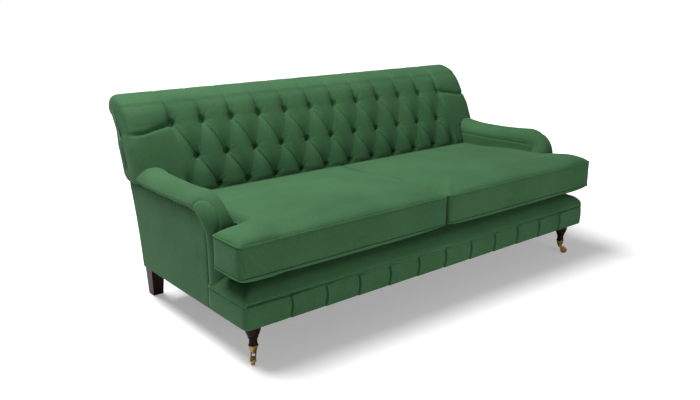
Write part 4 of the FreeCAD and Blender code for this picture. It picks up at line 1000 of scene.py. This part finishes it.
def back_pad_piece():
    """The pad as upright sections from the left wing to the right, closed round the frame behind."""
    levels = back_levels()
    depth, height, nd, nz, swell, row = levels.T
    step = button_pitch / (2 * row_steps)
    main = np.arange(0, end_button * button_pitch + step / 2, step)
    to_wing = np.linspace(end_button * button_pitch, main_half, 10)[1:]
    wing = np.concatenate([[main_half + 0.0003], np.linspace(main_half, cheek_start, 10)[1:]])
    cheek = cheek_start + (half_back - cheek_start) * np.sin(np.linspace(0, math.pi / 2, 14))[1:]
    half = np.concatenate([main, to_wing, wing, cheek])
    columns = np.concatenate([-half[::-1], half[1:]])
    low_levels = int(np.argmin(np.abs(row - wing_row)))
    rings = []
    for x in columns:
        side = abs(x)
        rise = cloth_rise(np.full(len(row), x), row, swell)
        rise = button_pull(np.full(len(row), x), row, rise)
        sag = sag_full * np.clip(rise / swell_full, 0, 1) * ((row > 0.5) & (row < 3.2))
        front = np.stack([depth + nd * rise, height + nz * rise - sag], 1)
        if side <= wing_wood:
            inner = [(sweep(top_rail_inset, z), z) for z in (tack_height, top_rail_cover)]
            base_end = pad_floor if side <= main_half else front[low_levels, 1]
            inner += [(sweep(pad_rear_inset, z), z) for z in np.linspace(top_rail_cover, base_end, 10)]
        else:
            base_heights = np.linspace(tack_height, front[low_levels, 1], 12)
            inner = [(sweep(-0.001, z), z) for z in base_heights]
        inner = np.array(inner, float)
        if side > main_half:
            start = inner[-1]
            finish = front[low_levels]
            t = np.linspace(0, 1, low_levels + 2)[1:-1]
            bow = wing_bow + wing_bow_gain * min(1, (side - main_half) / wing_bow_span)
            bow = bow * (1 - np.abs(2 * t - 1) ** 3)
            front[:low_levels, 0] = start[0] + t * (finish[0] - start[0])
            front[:low_levels, 1] = start[1] + t * (finish[1] - start[1]) - bow
        ring = np.vstack([front, inner])
        share = max(0.0, (side - cheek_start) / (half_back - cheek_start))
        if share > 0:
            keep = max(0.0, 1 - share ** cheek_power) ** (1 / cheek_power)
            middle = middle_line(ring)
            ring = middle + (ring - middle) * max(keep, 0.02)
        bulge = cheek_bulge * share * np.clip((cheek_top - ring[:, 1]) / 0.05, 0, 1)
        ring[:, 1] -= wing_drop * share ** 1.3 * np.clip((wing_drop_top - ring[:, 1]) / 0.11, 0, 1)
        rings.append(np.stack([x + np.sign(x) * bulge, seat_front + ring[:, 0], ring[:, 1]], 1))
    return skin("buttoned_back", rings, cover)


back = back_pad_piece()
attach(back, "sofa_frame")
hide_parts("back_pad")

# Covered buttons
# Each button is a domed metal shell covered in the same velvet, drawn in hard by twine. They stand
# in three rows, half a pitch apart from row to row.
button_radius = 0.011
button_height = 0.006
button_sink = 0.0065


def covered_tree(name, sizes):
    """A tree of geometry nodes with named sizes, whose result is made real, smooth and covered."""
    tree = bpy.data.node_groups.new(name, "GeometryNodeTree")
    tree.interface.new_socket("Geometry", in_out="INPUT", socket_type="NodeSocketGeometry")
    for size, kind in sizes:
        tree.interface.new_socket(size, in_out="INPUT", socket_type="NodeSocket" + kind)
    tree.interface.new_socket("Cover", in_out="INPUT", socket_type="NodeSocketMaterial")
    tree.interface.new_socket("Geometry", in_out="OUTPUT", socket_type="NodeSocketGeometry")
    given = node(tree, "NodeGroupInput")
    out = node(tree, "NodeGroupOutput")
    real = node(tree, "GeometryNodeRealizeInstances")
    smooth = node(tree, "GeometryNodeSetShadeSmooth")
    dress = node(tree, "GeometryNodeSetMaterial")
    tree.links.new(real.outputs["Geometry"], smooth.inputs["Geometry"])
    tree.links.new(smooth.outputs["Geometry"], dress.inputs["Geometry"])
    tree.links.new(given.outputs["Cover"], dress.inputs["Material"])
    tree.links.new(dress.outputs["Geometry"], out.inputs[0])
    return tree, given, real


def button_tree():
    """Geometry nodes: a row of domed buttons along a line, all tilted alike."""
    sizes = (("Count", "Int"), ("Start", "Vector"), ("Step", "Vector"), ("Tilt", "Float"),
             ("Radius", "Float"), ("Height", "Float"))
    tree, given, real = covered_tree("button_row", sizes)
    line = node(tree, "GeometryNodeMeshLine")
    ball = node(tree, "GeometryNodeMeshUVSphere", {"Segments": 20, "Rings": 12, "Radius": 1.0})
    size = node(tree, "ShaderNodeCombineXYZ")
    flatten = node(tree, "GeometryNodeTransform")
    turn = node(tree, "ShaderNodeCombineXYZ")
    place = node(tree, "GeometryNodeInstanceOnPoints")
    link = tree.links.new
    link(given.outputs["Count"], line.inputs["Count"])
    link(given.outputs["Start"], line.inputs["Start Location"])
    link(given.outputs["Step"], line.inputs["Offset"])
    link(given.outputs["Radius"], size.inputs["X"])
    link(given.outputs["Radius"], size.inputs["Y"])
    link(given.outputs["Height"], size.inputs["Z"])
    link(ball.outputs["Mesh"], flatten.inputs["Geometry"])
    link(size.outputs[0], flatten.inputs["Scale"])
    link(given.outputs["Tilt"], turn.inputs["X"])
    link(line.outputs["Mesh"], place.inputs["Points"])
    link(flatten.outputs["Geometry"], place.inputs["Instance"])
    link(turn.outputs[0], place.inputs["Rotation"])
    link(place.outputs["Instances"], real.inputs["Geometry"])
    return tree


def grown(name, tree, base, values):
    """Run a tree of geometry nodes on a base mesh and keep the plain mesh that it makes."""
    piece = bpy.data.objects.new(name, base)
    bpy.context.scene.collection.objects.link(piece)
    modifier = piece.modifiers.new("grow", "NODES")
    modifier.node_group = tree
    sockets = {item.name: item.identifier for item in tree.interface.items_tree
               if getattr(item, "in_out", "") == "INPUT"}
    for key, value in values.items():
        modifier[sockets[key]] = value
    bpy.context.view_layer.update()
    evaluated = piece.evaluated_get(bpy.context.evaluated_depsgraph_get())
    mesh = bpy.data.meshes.new_from_object(evaluated)
    mesh.name = name
    piece.modifiers.remove(modifier)
    piece.data = mesh
    return piece


button_row = button_tree()
for word, row, count in button_rows:
    (depth, height), forward = button_seat(row)
    start = (-(count - 1) / 2 * button_pitch, seat_front + depth - forward[0] * button_sink,
             height - forward[1] * button_sink)
    buttons = grown("buttons_" + word + "_row", button_row, bpy.data.meshes.new("line"),
                    {"Count": count, "Start": start, "Step": (button_pitch, 0.0, 0.0),
                     "Tilt": math.atan2(-forward[0], forward[1]), "Radius": button_radius,
                     "Height": button_height, "Cover": cover})
    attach(buttons, "sofa_frame")
    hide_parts("back_buttons_" + word + "_row")

# Outside back
# One panel of velvet over thin wadding, stretched over the back of the frame from under the roll down
# to the rails, and turned round the outer edge of the two posts.
back_panel_thickness = 0.003
back_panel_hollow = 0.0012
back_return = 0.010
back_return_thickness = 0.0014
back_return_round = 0.001
post_clearance = 0.0002


def outside_back_piece():
    """The panel as rings from the rails up to the tacks, with a short return at each side."""
    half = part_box("outside_back")[1].x
    heights = np.linspace(panel_bottom, tack_height - 0.0006, 60)
    across = np.linspace(-half, half, 160)
    turned = half + back_return_thickness
    post = half + post_clearance
    rings = []
    for z in heights:
        up = (z - panel_bottom) / (tack_height - panel_bottom)
        hollow = back_panel_hollow * np.sin(math.pi * (across + half) / (2 * half)) * math.sin(math.pi * up)
        outer = sweep(0, z) - hollow
        inner = sweep(back_panel_thickness, z) - hollow
        fold = back_return * (heights[0] < z < heights[-1])
        plan = [(-turned, inner[0] - fold), (-turned, outer[0] - back_return_round)]
        plan += list(zip(across, outer))
        plan += [(turned, outer[-1] - back_return_round), (turned, inner[-1] - fold)]
        plan += [(post, inner[-1] - fold), (post, inner[-1])]
        plan += list(zip(across[-2:0:-1], inner[-2:0:-1]))
        plan += [(-post, inner[0]), (-post, inner[0] - fold)]
        rings.append([(x, seat_front + d, z) for x, d in plan])
    return skin("outside_back_cover", rings, cover)


outside_back = outside_back_piece()
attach(outside_back, "sofa_frame")
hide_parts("outside_back")

# Seat cushions
# Two loose boxed cushions of feather round foam, T-shaped, with a lug in front of each arm. The top,
# the boxing and the underside are sewn together over a covered cord.
cord_low, cord_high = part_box("right_cushion_piping")
cord_radius = 0.003
seam_low = cord_low.z + cord_radius
seam_high = cord_high.z - cord_radius
cushion_in = cord_low.x + cord_radius
cushion_out = cord_high.x - cord_radius
cushion_waist_x = 0.859
cushion_rear = cord_high.y - seat_front - cord_radius
lug_rear = 0.185 - cord_radius
cushion_crown = 0.0528
cushion_belly = 0.0215
crown_fullness = 0.42
crown_fall = 0.82
crown_fall_depths = (0.24, 0.70)
lug_fill = 0.6
plan_corner = 0.014
corner_bulge = 0.55
cloth_step = 0.0115
boxing_rows = 9
film_rounds = 3000
fill_pressure = 4.0
fill_stiffness = 18
fill_bending = 3.0
fill_limit = 0.005
fill_steps = 20
cord_spacing = 0.006


def even(start, end, step):
    """Evenly spaced stations from start to end, about one step apart."""
    return np.linspace(start, end, max(2, int(round((end - start) / step)) + 1))


def poisson_dome(mask, spacing_x, spacing_y):
    """Height of a soap film under even pressure over the plan, from nothing at the seam to one."""
    height = np.zeros(mask.shape)
    wx = (1 / spacing_x ** 2)[:, None]
    wy = (1 / spacing_y ** 2)[None, :]
    for _ in range(film_rounds):
        padded = np.pad(height, 1)
        total = wx * (padded[2:, 1:-1] + padded[:-2, 1:-1]) + wy * (padded[1:-1, 2:] + padded[1:-1, :-2])
        height = np.where(mask, (total + 1) / (2 * wx + 2 * wy), 0)
    return height / height.max()


def cushion_mesh(name):
    """The right-hand cushion before it is filled: a lattice in plan with its boxing."""
    xs = np.concatenate([even(cushion_in, cushion_waist_x, cloth_step),
                         even(cushion_waist_x, cushion_out, cloth_step)[1:]])
    ds = np.concatenate([even(cord_radius, lug_rear, cloth_step),
                         even(lug_rear, cushion_rear, cloth_step)[1:]])
    body_end = len(even(cushion_in, cushion_waist_x, cloth_step)) - 1
    lug_end = len(even(cord_radius, lug_rear, cloth_step)) - 1
    n, m = len(xs), len(ds)
    used = np.zeros((n, m), bool)
    used[:body_end + 1, :] = True
    used[:, :lug_end + 1] = True
    inner = np.zeros((n, m), bool)
    inner[1:body_end, 1:m - 1] = True
    inner[1:n - 1, 1:lug_end] = True
    dome = poisson_dome(inner, np.full(n, cloth_step), np.full(m, cloth_step)) ** crown_fullness
    dome *= (1 - crown_fall * smooth_step(ds, *crown_fall_depths))[None, :]
    dome *= (1 + lug_fill * smooth_step(xs, cushion_waist_x - 0.06, cushion_waist_x + 0.01))[:, None]
    dome = np.minimum(dome / dome[:body_end].max(), 1)
    plan = np.stack(np.meshgrid(xs, ds, indexing="ij"), -1)
    corner_shift = plan_corner * (1 - math.sqrt(0.5))
    for i, j, sx, sy in ((0, 0, 1, 1), (n - 1, 0, -1, 1), (n - 1, lug_end, -1, -1),
                         (body_end, m - 1, -1, -1), (0, m - 1, 1, -1)):
        plan[i, j] += (sx * corner_shift, sy * corner_shift)
    border_cells = [(i, 0) for i in range(n)] + [(n - 1, j) for j in range(1, lug_end + 1)]
    border_cells += [(i, lug_end) for i in range(n - 2, body_end - 1, -1)]
    border_cells += [(body_end, j) for j in range(lug_end + 1, m)]
    border_cells += [(i, m - 1) for i in range(body_end - 1, -1, -1)]
    border_cells += [(0, j) for j in range(m - 2, 0, -1)]
    cells = [(i, j) for i in range(n) for j in range(m) if used[i, j]]
    index_top = {c: k for k, c in enumerate(cells)}
    index_low = {c: len(cells) + k for k, c in enumerate(cells)}
    points = [(plan[c][0], seat_front + plan[c][1], seam_high + cushion_crown * dome[c]) for c in cells]
    points += [(plan[c][0], seat_front + plan[c][1], seam_low - cushion_belly * min(1.0, 2.5 * dome[c]))
               for c in cells]
    faces = []
    for i in range(n - 1):
        for j in range(m - 1):
            if i < body_end or j < lug_end:
                cell = [(i, j), (i + 1, j), (i + 1, j + 1), (i, j + 1)]
                faces.append([index_top[c] for c in cell])
                faces.append([index_low[c] for c in cell[::-1]])
    rows = [[index_top[c] for c in border_cells]]
    for step in range(1, boxing_rows):
        share = step / boxing_rows
        z = seam_high + share * (seam_low - seam_high)
        row = []
        for c in border_cells:
            row.append(len(points))
            points.append((plan[c][0], seat_front + plan[c][1], z))
        rows.append(row)
    rows.append([index_low[c] for c in border_cells])
    for upper, lower in zip(rows, rows[1:]):
        for k in range(len(upper)):
            nxt = (k + 1) % len(upper)
            faces.append([upper[k], upper[nxt], lower[nxt], lower[k]])
    piece = piece_of(name, points, faces, cover)
    co = np.array([v.co for v in piece.data.vertices])
    at_seam = (np.abs(co[:, 2] - seam_high) < 1e-5) | (np.abs(co[:, 2] - seam_low) < 1e-5)
    under = co[:, 2] < seam_low - 0.9 * cushion_belly
    return piece, np.where(at_seam | under)[0].tolist()


def fill_cloth(piece, held):
    """Let the cover swell as cloth under pressure, with the held points where they are sewn."""
    start = np.array([v.co for v in piece.data.vertices])
    group = piece.vertex_groups.new(name="sewn")
    group.add(held, 1.0, "REPLACE")
    cloth = piece.modifiers.new("fill", "CLOTH")
    cloth.settings.vertex_group_mass = "sewn"
    cloth.settings.use_pressure = True
    cloth.settings.uniform_pressure_force = fill_pressure
    cloth.settings.effector_weights.gravity = 0
    cloth.settings.quality = 5
    cloth.settings.tension_stiffness = fill_stiffness
    cloth.settings.compression_stiffness = fill_stiffness
    cloth.settings.bending_stiffness = fill_bending
    cloth.point_cache.frame_start = 1
    cloth.point_cache.frame_end = fill_steps
    scene = bpy.context.scene
    for step in range(1, fill_steps + 1):
        scene.frame_set(step)
    evaluated = piece.evaluated_get(bpy.context.evaluated_depsgraph_get())
    moved = np.array([v.co for v in evaluated.data.vertices])
    piece.modifiers.remove(cloth)
    scene.frame_set(1)
    piece.vertex_groups.clear()
    shift = moved - start
    far = np.linalg.norm(shift, axis=1, keepdims=True)
    shift *= np.minimum(1, fill_limit / np.maximum(far, 1e-9))
    piece.data.vertices.foreach_set("co", (start + shift).astype(np.float32).ravel())
    piece.data.update()


def finer(piece):
    """Add one smooth subdivision to the mesh itself."""
    modifier = piece.modifiers.new("finer", "SUBSURF")
    modifier.levels = 1
    modifier.render_levels = 1
    evaluated = piece.evaluated_get(bpy.context.evaluated_depsgraph_get())
    mesh = bpy.data.meshes.new_from_object(evaluated)
    piece.modifiers.remove(modifier)
    piece.data = mesh


def mirrored_copy(piece, name):
    """The same cushion made for the other side, with its faces turned out again."""
    mesh = piece.data.copy()
    co = np.zeros(3 * len(mesh.vertices), np.float32)
    mesh.vertices.foreach_get("co", co)
    co[0::3] *= -1
    mesh.vertices.foreach_set("co", co)
    mesh.flip_normals()
    mesh.update()
    other = bpy.data.objects.new(name, mesh)
    bpy.context.scene.collection.objects.link(other)
    return other


right_cushion, sewn = cushion_mesh("right_seat_cushion_cover")
fill_cloth(right_cushion, sewn)
finer(right_cushion)
left_cushion = mirrored_copy(right_cushion, "left_seat_cushion_cover")


def seam_route(z):
    """Plan of the seam as points: straight runs with rounded corners."""
    corners = [(cushion_in, cord_radius), (cushion_out, cord_radius), (cushion_out, lug_rear),
               (cushion_waist_x, lug_rear), (cushion_waist_x, cushion_rear), (cushion_in, cushion_rear)]
    route = []
    for index, corner in enumerate(corners):
        c = Vector(corner)
        before = (Vector(corners[index - 1]) - c).normalized()
        after = (Vector(corners[(index + 1) % len(corners)]) - c).normalized()
        start = c + before * plan_corner
        finish = c + after * plan_corner
        for share in np.linspace(0, 1, 7):
            p = start * (1 - share) ** 2 + c * 2 * share * (1 - share) * corner_bulge + finish * share ** 2
            p += (start + finish) * share * (1 - share) * (1 - corner_bulge)
            route.append((p.x, seat_front + p.y, z))
    return route


def welt_tree():
    """Geometry nodes: a covered cord of round section along the edges of the base mesh."""
    tree, given, real = covered_tree("welt", (("Radius", "Float"), ("Spacing", "Float")))
    curve = node(tree, "GeometryNodeMeshToCurve")
    spread = node(tree, "GeometryNodeResampleCurve", mode="LENGTH")
    circle = node(tree, "GeometryNodeCurvePrimitiveCircle", {"Resolution": 10})
    tube = node(tree, "GeometryNodeCurveToMesh", {"Fill Caps": True})
    link = tree.links.new
    link(given.outputs["Geometry"], curve.inputs["Mesh"])
    link(curve.outputs["Curve"], spread.inputs["Curve"])
    link(given.outputs["Spacing"], spread.inputs["Length"])
    link(given.outputs["Radius"], circle.inputs["Radius"])
    link(spread.outputs["Curve"], tube.inputs["Curve"])
    link(circle.outputs["Curve"], tube.inputs["Profile Curve"])
    link(tube.outputs["Mesh"], real.inputs["Geometry"])
    return tree


welt = welt_tree()
routes = [seam_route(seam_low), seam_route(seam_high)]
guide = bpy.data.meshes.new("seam_routes")
size = len(routes[0])
loops = [(ring * size + k, ring * size + (k + 1) % size) for ring in range(2) for k in range(size)]
guide.from_pydata(routes[0] + routes[1], loops, [])
right_piping = grown("right_cushion_welt", welt, guide,
                     {"Radius": cord_radius, "Spacing": cord_spacing, "Cover": cover})
left_piping = mirrored_copy(right_piping, "left_cushion_welt")
for word, cushion, piping in (("right", right_cushion, right_piping), ("left", left_cushion, left_piping)):
    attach(cushion, word + "_cushion")
    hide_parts(word + "_seat_cushion")
    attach(piping, word + "_cushion")
    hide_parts(word + "_cushion_piping")

# Legs
# Two turned front legs and two raked square rear legs of hardwood, stained nearly black under a satin
# polish. Each is drawn up against its rail by a bolt.
leg_light = (0.030, 0.012, 0.006, 1.0)
leg_dark = (0.012, 0.005, 0.003, 1.0)
finish_nodes(["front_left_leg", "front_right_leg", "rear_left_leg", "rear_right_leg"],
             timber("dark_polished_wood", leg_light, leg_dark, 2, ring_scale=22.0, roughness=0.34,
                    gloss=0.06))

# Castors
# Cast brass castors with a darkened bloom: a cup screwed to the front leg's toe, a horn that turns
# in it, and a small wheel on an axle between the horn's cheeks.
brass_colour = (0.52, 0.33, 0.12, 1.0)
brass_stain = (0.22, 0.13, 0.045, 1.0)
castor_parts = [word + "_castor_" + part for word in ("left", "right")
                for part in ("cup", "horn", "axle", "wheel")]
finish_nodes(castor_parts + ["castor_screws"],
             metal("aged_brass", brass_colour, brass_stain, 0.27, scale=90.0))

# Dust cover
# Thin black spun cloth stapled under the rails and cut out round the legs. It keeps the dust of the
# springs and the stuffing from the floor.
dust_colour = (0.02, 0.02, 0.021, 1.0)


def dust_cloth():
    """Dull black cloth with the fine tangle of its fibres."""
    material, tree, shader, place = bare_material("dust_cloth")
    link = tree.links.new
    shader.inputs["Base Color"].default_value = dust_colour
    shader.inputs["Roughness"].default_value = 0.95
    fibres = node(tree, "ShaderNodeTexNoise", {"Scale": 500.0, "Detail": 4.0, "Distortion": 1.0})
    bump = node(tree, "ShaderNodeBump", {"Strength": 0.5, "Distance": 0.0005})
    link(place, fibres.inputs["Vector"])
    link(fibres.outputs["Fac"], bump.inputs["Height"])
    link(bump.outputs["Normal"], shader.inputs["Normal"])
    return material


finish_nodes(["dust_cover"], dust_cloth())
